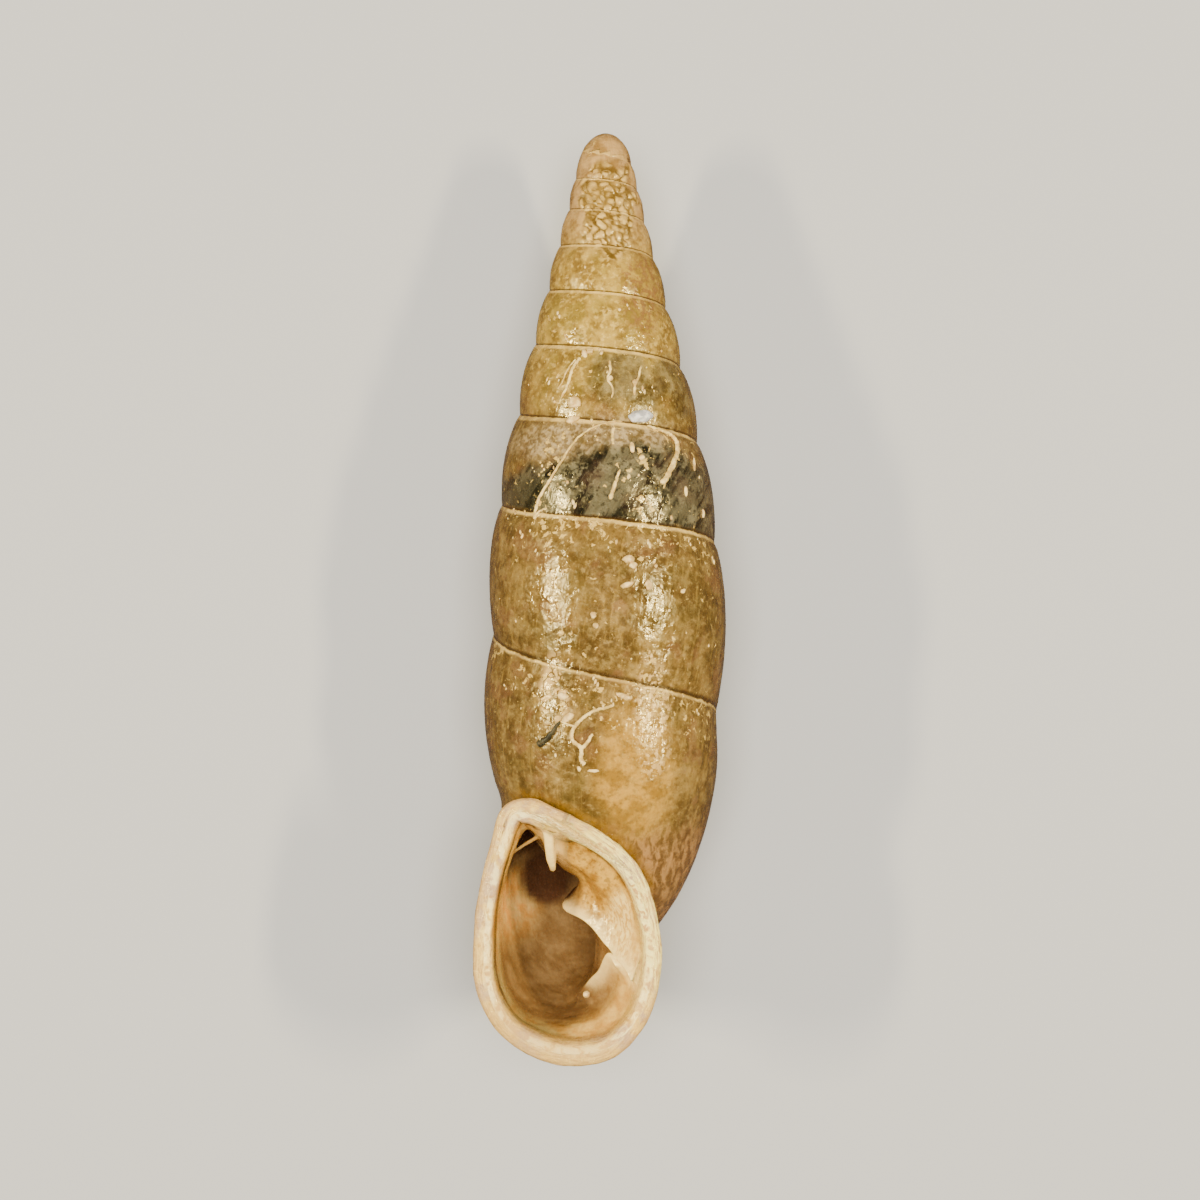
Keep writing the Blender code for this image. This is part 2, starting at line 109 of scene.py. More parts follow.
# The hollow: sections of the spire as (share of the radius, share of the pitch below the suture), and of
# the body whorl as (radius, drop) at the left, front, right, back and left again.
HOLLOW_COIL = (
    (0.86, 0.10), (0.915, 0.25), (0.93, 0.45), (0.925, 0.65), (0.89, 0.85), (0.82, 1.02), (0.68, 1.20),
    (0.48, 1.34), (0.29, 1.36), (0.19, 1.25), (0.17, 1.05), (0.17, 0.80), (0.26, 0.55), (0.47, 0.43),
    (0.66, 0.29), (0.79, 0.15),
)
HOLLOW_BODY_TURNS = (8.0, 8.25, 8.5, 8.75, 9.0)
HOLLOW_BODY = (
    (
        (1.72, 9.05), (1.85, 9.45), (1.90, 9.95), (1.88, 10.45), (1.82, 10.95), (1.70, 11.40),
        (1.45, 11.72), (1.10, 11.98), (0.75, 12.20), (0.50, 12.15), (0.40, 11.80), (0.36, 11.35),
        (0.40, 10.85), (0.75, 10.35), (1.15, 9.90), (1.50, 9.35),
    ),
    (
        (1.72, 9.75), (1.84, 10.15), (1.86, 10.60), (1.79, 11.05), (1.66, 11.50), (1.46, 11.95),
        (1.20, 12.35), (0.92, 12.65), (0.66, 12.75), (0.47, 12.60), (0.38, 12.20), (0.36, 11.75),
        (0.42, 11.25), (0.75, 10.75), (1.15, 10.35), (1.50, 9.98),
    ),
    (
        (1.68, 10.47), (1.79, 10.88), (1.75, 11.32), (1.64, 11.75), (1.50, 12.14), (1.31, 12.55),
        (1.07, 12.95), (0.81, 13.26), (0.58, 13.42), (0.42, 13.34), (0.36, 13.05), (0.36, 12.65),
        (0.48, 12.20), (0.82, 11.70), (1.18, 11.18), (1.46, 10.72),
    ),
    (
        (1.68, 11.26), (1.77, 11.75), (1.78, 12.25), (1.72, 12.80), (1.59, 13.35), (1.36, 13.92),
        (1.05, 14.37), (0.72, 14.55), (0.44, 14.45), (0.30, 14.15), (0.29, 13.80), (0.35, 13.45),
        (0.60, 13.05), (0.95, 12.60), (1.30, 12.05), (1.55, 11.58),
    ),
    (
        (1.58, 12.02), (1.72, 12.47), (1.78, 13.00), (1.79, 13.60), (1.74, 14.20), (1.54, 14.82),
        (1.18, 15.22), (0.76, 15.34), (0.40, 15.18), (0.20, 14.80), (0.14, 14.30), (0.22, 13.80),
        (0.38, 13.30), (0.52, 12.80), (0.90, 12.40), (1.28, 12.12),
    ),
)
HOLLOW_THROAT = (
    (-1.32, 12.12), (-1.55, 12.50), (-1.72, 13.10), (-1.80, 13.90), (-1.74, 14.70), (-1.46, 15.24),
    (-1.02, 15.47), (-0.50, 15.44), (0.00, 15.20), (0.20, 14.80), (0.30, 14.30), (0.26, 13.80),
    (0.06, 13.35), (-0.24, 12.98), (-0.60, 12.70), (-0.98, 12.42),
)
# Farther in, the wall between the whorls stands in front of the space behind it.
HOLLOW_WAIST = (
    (-1.40, 12.15), (-1.58, 12.55), (-1.74, 13.10), (-1.80, 13.80), (-1.75, 14.55), (-1.52, 15.10),
    (-1.10, 15.36), (-0.58, 15.36), (-0.14, 15.10), (0.02, 14.72), (0.04, 14.25), (-0.12, 13.80),
    (-0.38, 13.40), (-0.48, 13.05), (-0.76, 12.86), (-1.06, 12.60),
)
THROAT_OUT = 1.0
WAIST_OUT = 0.40
HOLLOW_FIRST_TURN = 6.5

# The folds in the mouth. The upper one is a thin blade: (out, root, crest, half width at each).
SUPERIOR_FOLD = (
    (1.62, (-0.98, 11.85), (-0.97, 12.06), 0.095, 0.07),
    (1.55, (-0.98, 11.85), (-0.96, 12.25), 0.10, 0.078),
    (1.42, (-0.97, 11.85), (-0.94, 12.46), 0.10, 0.08),
    (1.25, (-0.97, 11.90), (-0.92, 12.66), 0.10, 0.076),
    (1.05, (-0.96, 11.95), (-0.90, 12.80), 0.10, 0.07),
    (0.85, (-0.97, 11.95), (-0.90, 12.86), 0.10, 0.062),
    (0.50, (-0.98, 12.05), (-0.95, 12.80), 0.09, 0.04),
    (0.05, (-1.00, 12.20), (-0.98, 12.62), 0.08, 0.04),
)
# The lower one leans over the throat: (out, root above, crest, root below, roundness of the crest).
INFERIOR_FOLD = (
    (1.40, (0.62, 14.10), (0.44, 14.66), (0.66, 14.85), 0.035),
    (1.26, (0.52, 13.80), (0.32, 14.46), (0.62, 14.75), 0.035),
    (1.12, (0.40, 13.52), (0.19, 14.33), (0.54, 14.60), 0.035),
    (1.00, (0.27, 13.32), (0.083, 14.19), (0.44, 14.50), 0.035),
    (0.90, (0.15, 13.22), (-0.036, 14.07), (0.38, 14.40), 0.035),
    (0.75, (-0.03, 13.10), (-0.226, 13.85), (0.30, 14.20), 0.035),
    (0.60, (-0.22, 13.00), (-0.434, 13.70), (0.20, 14.05), 0.035),
    (0.45, (-0.36, 12.95), (-0.574, 13.654), (0.08, 13.95), 0.035),
    (0.30, (-0.38, 12.98), (-0.733, 13.571), (-0.05, 13.85), 0.03),
    (0.12, (-0.36, 13.02), (-0.70, 13.45), (-0.10, 13.70), 0.03),
    (-0.15, (-0.32, 13.00), (-0.55, 13.30), (-0.15, 13.50), 0.03),
)
# A third, low fold comes out from under it.
UNDER_FOLD = (
    (1.14, (0.42, 14.60), (0.17, 14.40), 0.09, 0.035),
    (1.00, (0.36, 14.60), (0.036, 14.24), 0.10, 0.04),
    (0.85, (0.28, 14.80), (-0.088, 14.51), 0.12, 0.04),
    (0.70, (0.16, 15.00), (-0.226, 14.70), 0.12, 0.04),
    (0.55, (0.04, 15.20), (-0.365, 14.885), 0.12, 0.04),
    (0.35, (-0.05, 15.35), (-0.47, 15.05), 0.10, 0.04),
    (0.10, (-0.15, 15.50), (-0.50, 15.25), 0.08, 0.03),
)
# A thin ridge crosses from the root of the upper fold to the left wall: (out, x, drop, radius).
CROSS_RIDGE = (
    (1.05, -0.98, 12.14, 0.05), (1.00, -1.12, 12.23, 0.05), (0.93, -1.30, 12.34, 0.038),
    (0.87, -1.48, 12.46, 0.035), (0.82, -1.66, 12.60, 0.05), (0.80, -1.84, 12.72, 0.07),
)

# How finely the surfaces are divided.
STEPS_PER_TURN = 144
WALL_CELLS = 22
BASE_CELLS = 22
DOME_RINGS = 10
LOOP_POINTS = 112
HOLLOW_STEPS_PER_TURN = 56

# Fixes the noise that pushes the pebbles about, so that they come out the same each time.
NOISE_SEED = 3

# Which part of the shell a face belongs to, as its material's place in the list.
OUTSIDE, NECK, INSIDE, FOLD = range(4)


def smooth(value):
    """0 to 1 with level ends."""
    held = min(1.0, max(0.0, value))
    return held * held * (3 - 2 * held)


def natural_spline(xs, ys):
    """A function that runs smoothly through the points; ys may hold numbers or rows of them."""
    xs = np.array(xs, float)
    ys = np.array(ys, float)
    gaps = np.diff(xs)
    slopes = (np.diff(ys, axis=0).T / gaps).T
    bends = np.zeros_like(ys)
    system = np.diag(2 * (gaps[:-1] + gaps[1:])) + np.diag(gaps[1:-1], 1) + np.diag(gaps[1:-1], -1)
    bends[1:-1] = np.linalg.solve(system, 6 * np.diff(slopes, axis=0))

    def at(x):
        i = int(np.clip(np.searchsorted(xs, x) - 1, 0, len(gaps) - 1))
        left, right = x - xs[i], xs[i + 1] - x
        curve = (bends[i] * right**3 + bends[i + 1] * left**3) / (6 * gaps[i])
        low = ys[i] / gaps[i] - bends[i] * gaps[i] / 6
        high = ys[i + 1] / gaps[i] - bends[i + 1] * gaps[i] / 6
        return curve + low * right + high * left

    return at


suture_drop = natural_spline(np.arange(len(SUTURE_DROP)) / 2, SUTURE_DROP)
spindle_radius = natural_spline(*zip(*SPINDLE))
base_radius = natural_spline(BASE_TURNS, BASE_RADIUS)
base_widest = natural_spline(BASE_TURNS, BASE_WIDEST)
base_end = natural_spline(BASE_TURNS, BASE_END)
hollow_body = natural_spline(HOLLOW_BODY_TURNS, [np.ravel(section) for section in HOLLOW_BODY])
PEAR_CORNERS = [(-x, drop) for x, drop in NECK_START[:NECK_PROFILE_CORNERS]] + [(0.0, 14.88)]
pear_profile = natural_spline(range(len(PEAR_CORNERS)), PEAR_CORNERS)


def suture(turn):
    """Radius and drop of the suture at a turn."""
    drop = suture_drop(turn)
    return spindle_radius(min(drop, SPINDLE[-1][0])), drop


def bulge(share):
    """How far a whorl stands out between its two sutures, from 0 to 1."""
    return math.sin(math.pi * min(share, 1.0) ** BULGE_SKEW) ** BULGE_FULLNESS if 0 < share < 1 else 0.0


def whorl_radius(turn, drop):
    """Radius of a whorl that has another below it."""
    (r0, d0), (r1, d1) = suture(turn), suture(turn + 1)
    share = (drop - d0) / (d1 - d0)
    ratio = BULGE_YOUNG + (BULGE_GROWN - BULGE_YOUNG) * smooth((turn - 5) / 3)
    return r0 + (r1 - r0) * share + ratio * (d1 - d0) * bulge(share)


def free_radius(turn, drop):
    """Radius of the body whorl where nothing is below it: a shoulder, then a base that tapers to the axis."""
    r0, d0 = suture(turn)
    widest = base_radius(turn)
    top = d0 + base_widest(turn)
    if drop < top:
        return r0 + (widest - r0) * (1 - ((top - drop) / (top - d0)) ** 2.2)
    share = min(1.0, (drop - top) / (base_end(turn) - top))
    return widest * (1 - share**BASE_POWER) ** (1 / BASE_POWER)


def shell_profile(turn, share):
    """(radius, drop) on the outside at a turn. Share 0 is the suture, 1 the next suture and 2 the axis."""
    r0, d0 = suture(turn)
    d1 = suture_drop(turn + 1)
    free = smooth((turn - 7.5) / 0.5)
    if share <= 1:
        drop = d0 + (d1 - d0) * share
        radius = whorl_radius(turn, drop) if turn <= 8 else 0.0
        if free > 0:
            radius += free * (free_radius(turn, drop) - radius)
    else:
        drop = d1 + (base_end(turn) - d1) * math.sin((share - 1) * math.pi / 2)
        radius = free_radius(turn, drop) if share < 2 else 0.0
    # The last turn is fitted to the neck that follows it.
    if turn > 8:
        fitted = smooth((turn - 8.4) / 0.6)
        pear_r, pear_d = pear_profile(share / 2 * NECK_PROFILE_CORNERS)
        radius += fitted * (pear_r - radius)
        drop += fitted * (pear_d + (d0 - suture_drop(LAST_TURN)) * (1 - share / 2) - drop)
    elif share <= 1 and turn > 7.5:
        r1, _ = suture(turn + 1)
        radius += share * (r1 - free * free_radius(turn, d1) - (1 - free) * whorl_radius(turn, d1))
    # The coil grows out of the dome at the apex.
    if turn < FIRST_GROWTH:
        grown = smooth(turn / FIRST_GROWTH)
        r1, _ = suture(turn + 1)
        radius = r1 + grown * (radius - r1)
        drop = d1 + grown * (drop - d1)
    return radius, drop


def place_flat(x, drop, out):
    """A point at x and drop, at a distance out from the axis."""
    return x, REST_DROP - drop, AXIS_HEIGHT + out


def unplace(at):
    """(x, drop, out) of a point."""
    return at.x, REST_DROP - at.y, at.z - AXIS_HEIGHT


def place(radius, drop, turn):
    """A point at a radius and drop, at a turn."""
    angle = 2 * math.pi * turn - math.pi / 2
    return place_flat(radius * math.sin(angle), drop, radius * math.cos(angle))


def closed_curve(corners, count):
    """Points spread along a smooth closed curve through the corners, starting at the first."""
    corners = np.array(corners, float)
    n = len(corners)
    found = []
    for i in range(count):
        at = i * n / count
        j, t = int(at), at - int(at)
        p0, p1, p2, p3 = (corners[(j + k) % n] for k in (-1, 0, 1, 2))
        found.append(
            0.5 * (2 * p1 + (p2 - p0) * t + (2 * p0 - 5 * p1 + 4 * p2 - p3) * t**2
                   + (3 * p1 - p0 - 3 * p2 + p3) * t**3)
        )
    return np.array(found)


def inset(loop, distance):
    """The loop moved inwards by a distance, or by one distance for each point."""
    along = np.roll(loop, -1, axis=0) - np.roll(loop, 1, axis=0)
    along /= np.linalg.norm(along, axis=1)[:, None]
    inwards = np.stack([along[:, 1], -along[:, 0]], axis=1)
    return loop + np.reshape(distance, (-1, 1)) * inwards


def deselect_all():
    bpy.ops.object.select_all(action="DESELECT")


def select_only(piece):
    deselect_all()
    piece.select_set(True)
    bpy.context.view_layer.objects.active = piece


def joined(pieces, name):
    """The pieces as one object."""
    deselect_all()
    for piece in pieces:
        piece.select_set(True)
    bpy.context.view_layer.objects.active = pieces[0]
    if len(pieces) > 1:
        bpy.ops.object.join()
    bpy.context.object.name = name
    return bpy.context.object


def sheet(name, points, material):
    """A grid whose point in column i and row j is moved to points[i, j]."""
    columns, rows = points.shape[0] - 1, points.shape[1] - 1
    deselect_all()
    bpy.ops.mesh.primitive_grid_add(x_subdivisions=columns, y_subdivisions=rows, size=1)
    made = bpy.context.object
    made.name = name
    flat = np.empty(len(made.data.vertices) * 3)
    made.data.vertices.foreach_get("co", flat)
    flat = flat.reshape(-1, 3)
    i = np.rint((flat[:, 0] + 0.5) * columns).astype(int)
    j = np.rint((flat[:, 1] + 0.5) * rows).astype(int)
    made.data.vertices.foreach_set("co", points[i, j].ravel())
    made.data.polygons.foreach_set("material_index", [material] * len(made.data.polygons))
    return made


def welded(pieces, name):
    """The sheets as one closed solid: joined, their seams merged, their open ends filled."""
    solid = joined(pieces, name)
    for zone in ("outside", "neck", "inside", "fold"):
        solid.data.materials.append(bpy.data.materials.get(zone) or bpy.data.materials.new(zone))
    bpy.ops.object.mode_set(mode="EDIT")
    bpy.ops.mesh.select_all(action="SELECT")
    bpy.ops.mesh.remove_doubles(threshold=1e-4)
    bpy.ops.mesh.fill_holes(sides=0)
    bpy.ops.mesh.select_all(action="SELECT")
    bpy.ops.mesh.normals_make_consistent(inside=False)
    bpy.ops.object.mode_set(mode="OBJECT")
    return solid


def coil():
    """The spire and the body whorl: a ribbon along the suture, the base below its last turn, and the apex."""
    steps = round(LAST_TURN * STEPS_PER_TURN)
    turns = [i / STEPS_PER_TURN for i in range(steps + 1)]
    shares = [j / WALL_CELLS for j in range(WALL_CELLS + 1)]
    wall = np.array([[place(*shell_profile(turn, share), turn) for share in shares] for turn in turns])
    # Each whorl starts exactly where the one above it ends.
    wall[STEPS_PER_TURN:, 0] = wall[:-STEPS_PER_TURN, -1]
    last = turns[-STEPS_PER_TURN - 1:]
    below = [1 + j / BASE_CELLS for j in range(BASE_CELLS + 1)]
    base = np.array([[place(*shell_profile(turn, share), turn) for share in below] for turn in last])
    base[:, 0] = wall[-STEPS_PER_TURN - 1:, -1]
    rim = wall[:STEPS_PER_TURN + 1, 0]
    top = np.array(place_flat(0.0, 0.0, 0.0))
    dome = []
    for ring in range(DOME_RINGS + 1):
        rise = ring / DOME_RINGS * math.pi / 2
        dome.append(np.stack([
            rim[:, 0] * math.cos(rise),
            rim[:, 1] + (top[1] - rim[:, 1]) * math.sin(rise),
            top[2] + (rim[:, 2] - top[2]) * math.cos(rise),
        ], axis=1))
    dome = np.stack(dome, axis=1)
    surfaces = (("wall", wall), ("base", base), ("dome", dome))
    return welded([sheet(name, points, OUTSIDE) for name, points in surfaces], "shell")


def loft(name, rings, material):
    """A closed solid through rings that have the same number of points."""
    rings = np.array(rings, float)
    closed = np.concatenate([rings, rings[:, :1]], axis=1)
    return welded([sheet(name, closed, material)], name)


def flat_ring(loop, out):
    return [place_flat(x, drop, far) for (x, drop), far in zip(loop, np.broadcast_to(out, len(loop)))]


def lip_loops():
    """The lip's edge, and how wide and how raised it is at each point of that edge."""
    corners = [(*corner, width, lift) for corner, width, lift in zip(LIP_EDGE, LIP_WIDTH, LIP_LIFT)]
    both = closed_curve(corners, LOOP_POINTS)
    return both[:, :2], both[:, 2], both[:, 3]


def neck():
    """The last stretch of the whorl, from the left side forward, and the outer half of the lip."""
    start = closed_curve(NECK_START, LOOP_POINTS)
    edge, _, lift = lip_loops()
    front = inset(edge, LIP_FLARE + lift)
    rings = [flat_ring(inset(start, 0.10), -0.25), flat_ring(inset(start, 0.002), 0.0)]
    for out in np.linspace(0.10, NECK_FRONT, 11):
        rings.append(flat_ring(start + (front - start) * smooth(out / NECK_FRONT), out))
    for distance, out in LIP_OUTER:
        raised = smooth((out - CLIMB_OUTSIDE[0]) / CLIMB_OUTSIDE[1])
        rings.append(flat_ring(inset(edge, distance + lift * (1 - raised)), out + lift * raised))
    return loft("neck", rings, NECK)


def hollow_section(turn):
    """The hollow at a turn, as (radius, drop)."""
    body = closed_curve(hollow_body(max(turn, 8.0)).reshape(-1, 2), LOOP_POINTS)
    if turn >= 8:
        return body
    d0 = suture_drop(turn)
    pitch = suture_drop(turn + 1) - d0
    radius = whorl_radius(turn, d0 + 0.5 * pitch)
    spire = closed_curve(HOLLOW_COIL, LOOP_POINTS) * (radius, pitch) + (0.0, d0)
    body += (0.0, d0 - suture_drop(8.0))
    return body + (spire - body) * smooth((8.0 - turn) / 0.5)


def hollow():
    """The space inside, from in front of the lip back round the axis and up the coil."""
    edge, width, lift = lip_loops()
    throat = closed_curve(HOLLOW_THROAT, LOOP_POINTS)
    rings = []
    for distance, out in LIP_INNER:
        raised = smooth((out - CLIMB_INSIDE[0]) / CLIMB_INSIDE[1])
        rings.append(flat_ring(inset(edge, distance * width), out + lift * raised))
    mouth_inset, mouth_out = LIP_INNER[-1]
    mouth = inset(edge, mouth_inset * width)
    for out in np.linspace(mouth_out, THROAT_OUT, 7)[1:]:
        share = smooth((mouth_out - out) / (mouth_out - THROAT_OUT))
        rings.append(flat_ring(mouth + (throat - mouth) * share, out))
    waist = closed_curve(HOLLOW_WAIST, LOOP_POINTS)
    left = hollow_section(LAST_TURN) * np.array([-1, 1])
    for out in np.linspace(THROAT_OUT, WAIST_OUT, 9)[1:]:
        share = (THROAT_OUT - out) / (THROAT_OUT - WAIST_OUT)
        rings.append(flat_ring(throat + (waist - throat) * share, out))
    for out in np.linspace(WAIST_OUT, 0.0, 8)[1:-1]:
        rings.append(flat_ring(waist + (left - waist) * smooth(1 - out / WAIST_OUT), out))
    steps = round((LAST_TURN - HOLLOW_FIRST_TURN) * HOLLOW_STEPS_PER_TURN)
    for i in range(steps + 1):
        turn = LAST_TURN - i / HOLLOW_STEPS_PER_TURN
        rings.append([place(r, drop, turn) for r, drop in hollow_section(turn)])
    return loft("hollow", rings, INSIDE)


# How many steps lie between two stations of a fold.
STATION_STEPS = 4


def along_stations(stations):
    """The stations of a fold with more put smoothly between them."""
    rows = [np.concatenate([np.atleast_1d(value) for value in station]) for station in stations]
    curve = natural_spline(range(len(rows)), rows)
    return [curve(k / STATION_STEPS) for k in range((len(rows) - 1) * STATION_STEPS + 1)]


def round_tip(crest, up, side, radius, angles):
    """Points round the crest of a fold, from one side over its top to the other."""
    return [crest - up * radius + (side * math.cos(a) + up * math.sin(a)) * radius for a in angles]


def blade(name, stations):
    """A thin upright fold."""
    rings = []
    for out, root_x, root_drop, crest_x, crest_drop, wide, narrow in along_stations(stations):
        root, crest = Vector((root_x, root_drop)), Vector((crest_x, crest_drop))
        up = (crest - root).normalized()
        side = Vector((-up.y, up.x))
        shares = [k / 4 * 0.9 for k in range(5)]
        left = [root.lerp(crest, share) + side * (wide + (narrow - wide) * share) for share in shares]
        right = [root.lerp(crest, share) - side * (wide + (narrow - wide) * share) for share in shares]
        tip = round_tip(crest, up, side, narrow, [math.pi * k / 8 for k in range(1, 8)])
        rings.append([place_flat(p.x, p.y, out) for p in left + tip + right[::-1]])
    return loft(name, rings, FOLD)


def leaning_fold(name, stations):
    """A fold with a long slope above and a steep face below."""
    # Its foot goes into the wall by this much.
    sunk = Vector((0.12, 0.0))
    rings = []
    for out, *corners, roundness in along_stations(stations):
        above, crest, below = Vector(corners[0:2]), Vector(corners[2:4]), Vector(corners[4:6])
        bowed = above.lerp(crest, 0.6) + Vector((0.05, 0.0))
        up = (crest - above.lerp(below, 0.5)).normalized()
        side = Vector((-up.y, up.x))
        if side.dot(above - below) < 0:
            side = -side
        ring = [above, above.lerp(bowed, 0.5), bowed, bowed.lerp(crest, 0.5)]
        ring += round_tip(crest, up, side, roundness, [math.pi * k / 6 for k in range(7)])
        ring += [crest.lerp(below, 0.3), crest.lerp(below, 0.65), below]
        ring += [below.lerp(above, 0.33) + sunk, below.lerp(above, 0.66) + sunk]
        rings.append([place_flat(p.x, p.y, out) for p in ring])
    return loft(name, rings, FOLD)


def ridge(name, stations):
    """A thin round ridge through (out, x, drop, radius)."""
    angles = [math.pi * 2 * k / 12 for k in range(12)]
    rings = []
    for out, x, drop, radius in along_stations(stations):
        rings.append([place_flat(x, drop + radius * math.cos(a), out + radius * math.sin(a)) for a in angles])
    return loft(name, rings, FOLD)


def combine(target, other, operation, solver):
    step = target.modifiers.new("cut", "BOOLEAN")
    step.operation = operation
    step.object = other
    step.solver = solver
    select_only(target)
    bpy.ops.object.modifier_apply(modifier=step.name)
    bpy.data.objects.remove(other)


# The pebbly middle of the first whorls: its centre and half sizes along x and drop.
PEBBLED_CENTRE = (0.06, 1.45)
PEBBLED_SIZE = (0.50, 0.92)
PEBBLES_PER_MM = 6.5
PEBBLE_HEIGHT = 0.045


def pebbled(x, drop, out):
    """How pebbly a place is, from 0 to 1."""
    away = math.hypot((x - PEBBLED_CENTRE[0]) / PEBBLED_SIZE[0], (drop - PEBBLED_CENTRE[1]) / PEBBLED_SIZE[1])
    away += 0.35 * noise.noise(Vector((x, drop, out)) * 4.0)
    return (1 - smooth((away - 0.75) / 0.35)) * smooth((out + 0.1) / 0.3)


def pebble(at):
    """Height of the nearest pebble at a place: 1 on its top, 0 in the gaps."""
    stirred = at + 0.05 * noise.noise_vector(at * 6.0)
    near = noise.voronoi(stirred * PEBBLES_PER_MM)[0]
    return smooth((near[1] - near[0]) / 0.42)


def relief(piece):
    """Small unevenness: a weathered, grainy apex, faint ripples of growth and a slightly wavy lip."""
    mesh = piece.data
    normals = [v.normal.copy() for v in mesh.vertices]
    for v, normal in zip(mesh.vertices, normals):
        x, drop, out = unplace(v.co)
        height = 0.010 * noise.noise(v.co * 0.9) + 0.004 * noise.noise(v.co * 3.1)
        height += PEBBLE_HEIGHT * pebbled(x, drop, out) * (pebble(v.co) - 0.45)
        height += 0.006 * noise.noise(v.co * 9.0) * (1 - smooth((drop - 2.0) / 2.0))
        if out > 1.3 and drop > 11.4:
            height += 0.010 * noise.noise(v.co * 4.0) + 0.004 * noise.noise(v.co * 11.0)
        if drop < 11.5 or math.hypot(x, out) > 1.85:
            angle = math.atan2(x, out)
            ripple = noise.noise(Vector((angle * 9.0, drop * 0.45 - x * 0.3, 3.0)))
            height += 0.006 * ripple * smooth(drop / 2)
        v.co += normal * height


def soften(piece):
    """Smooths the welds where the neck and the folds meet what carries them."""
    shape = bmesh.new()
    shape.from_mesh(piece.data)
    near = set()
    for edge in shape.edges:
        zones = {face.material_index for face in edge.link_faces}
        if len(zones) > 1 and zones != {OUTSIDE, INSIDE}:
            near.update(edge.verts)
    for _ in range(3):
        near |= {edge.other_vert(v) for v in near for edge in v.link_edges}
    for _ in range(8):
        bmesh.ops.smooth_vert(
            shape, verts=list(near), factor=0.5, use_axis_x=True, use_axis_y=True, use_axis_z=True
        )
    shape.to_mesh(piece.data)
    shape.free()


def turn_part(x, out):
    """The part of a turn, from 0 to 1, at which a place stands round the axis."""
    return (math.atan2(x, out) / (2 * math.pi) + 0.25) % 1.0


def whorl_place(x, drop, out):
    """(turn, share) of a place on the coil."""
    part = turn_part(x, out)
    for whorl in range(8, -1, -1):
        turn = whorl + part
        top = suture_drop(turn)
        if drop >= top - 1e-3:
            return turn, (drop - top) / (suture_drop(turn + 1) - top)
    return part, 0.0


# The upper edge, as (x, drop), of the dark band that shows through the wall, and the whorl it lies on.
BAND_EDGE = (
    (-1.80, 6.12), (-1.29, 5.86), (-0.78, 5.83), (0.01, 5.59), (0.45, 5.55), (1.20, 5.60), (1.95, 6.02),
)
BAND_TURN = 6
# The greyer stretch on the whorl above it: its drop, its slope along x, half its height and its darkness.
GREY_DROP = 4.42
GREY_SLOPE = 0.16
GREY_HALF = 0.42
GREY_MOST = 0.62


def stain(x, drop, out, turn, share):
    """How dark the remains behind the wall make a place, from 0 to 1."""
    if out < -0.4:
        return 0.0
    facing = smooth((out + 0.4) / 0.6)
    if int(turn) == BAND_TURN and share < 1:
        edge = np.interp(x, *zip(*BAND_EDGE))
        ragged = 0.16 * noise.noise(Vector((x * 2.6, drop * 2.6, 1.0)))
        ragged += 0.08 * noise.noise(Vector((x * 9, drop * 5, 2)))
        return facing * smooth((drop - edge - ragged + 0.08) / 0.20)
    centre = GREY_DROP + GREY_SLOPE * x
    away = abs(drop - centre) / GREY_HALF + 0.9 * noise.noise(Vector((x * 3.4, drop * 1.6, 9.0)))
    ends = smooth((x + 0.42) / 0.25) * (1 - smooth((x - 1.35) / 0.35))
    return GREY_MOST * facing * ends * (1 - smooth((away - 0.55) / 0.7))


# The unlit space that leads up the spire, as x, drop and radius.
CAVITY = (-1.04, 13.22, 0.52)


def crest_of(stations):
    return [Vector((*station[2], station[0])) for station in stations]


# The porcelain crests: points along each, how wide the white is, how wide it fades, and how white it is.
CRESTS = (
    (crest_of(INFERIOR_FOLD[:9]), 0.045, 0.20, 1.0),
    (crest_of(SUPERIOR_FOLD[:6]), 0.12, 0.25, 1.0),
    (crest_of(UNDER_FOLD[:4]), 0.06, 0.25, 0.55),
)

# Round the mouth from the top by the right, the bottom and the left: how far from its edge the white of the lip
# begins to fade and how wide the fade is.
MOUTH_CENTRE = (-0.63, 13.80)
FADE_AT = (0.00, 0.12, 0.25, 0.34, 0.42, 0.50, 0.58, 0.65, 0.75, 0.86, 0.93, 1.00)
FADE_START = (0.38, 0.39, 0.38, 0.42, 0.44, 0.40, 0.37, 0.36, 0.35, 0.36, 0.37, 0.38)
FADE_WIDTH = (0.16, 0.24, 0.36, 0.45, 0.42, 0.34, 0.26, 0.14, 0.08, 0.10, 0.12, 0.16)
# The lip turns inwards at this distance from its edge and at this height.
LIP_REACH = 0.36
LIP_TOP = 1.66


def porcelain(at):
    """How white a point in the mouth is, from how near it lies to the crest of a fold."""
    point = Vector(unplace(at))
    white = 0.0
    for crest, near, fade, most in CRESTS:
        for start, end in zip(crest, crest[1:]):
            along = end - start
            share = min(1.0, max(0.0, (point - start).dot(along) / along.length_squared))
            away = (point - start - along * share).length
            white = max(white, most * (1 - smooth((away - near) / fade)))
    return white


def lip_distance(points):
    """How far each (x, drop) point lies from the lip's edge."""
    edge, _, _ = lip_loops()
    return np.array([np.hypot(*(edge - point).T).min() for point in points])


def growth_at(x, drop, out, turn, zone):
    """(turn, share) that the finish reads at a corner of a face whose middle is at a turn."""
    part = turn_part(x, out)
    here = round(turn - part) + part
    top = suture_drop(here)
    share = (drop - top) / max(suture_drop(here + 1) - top, 0.3)
    # The neck and the end of the body whorl have no whorl below, so their share stays short of the next seam.
    free = 1.0 if zone != OUTSIDE else smooth((here - 8.0) / 0.25)
    if free > 0 and share > 0.5:
        share += free * (min(0.5 + 0.35 * (share - 0.5), 0.9) - share)
    return here, max(share, 0.0) if -0.2 < share < 1.1 else 0.5


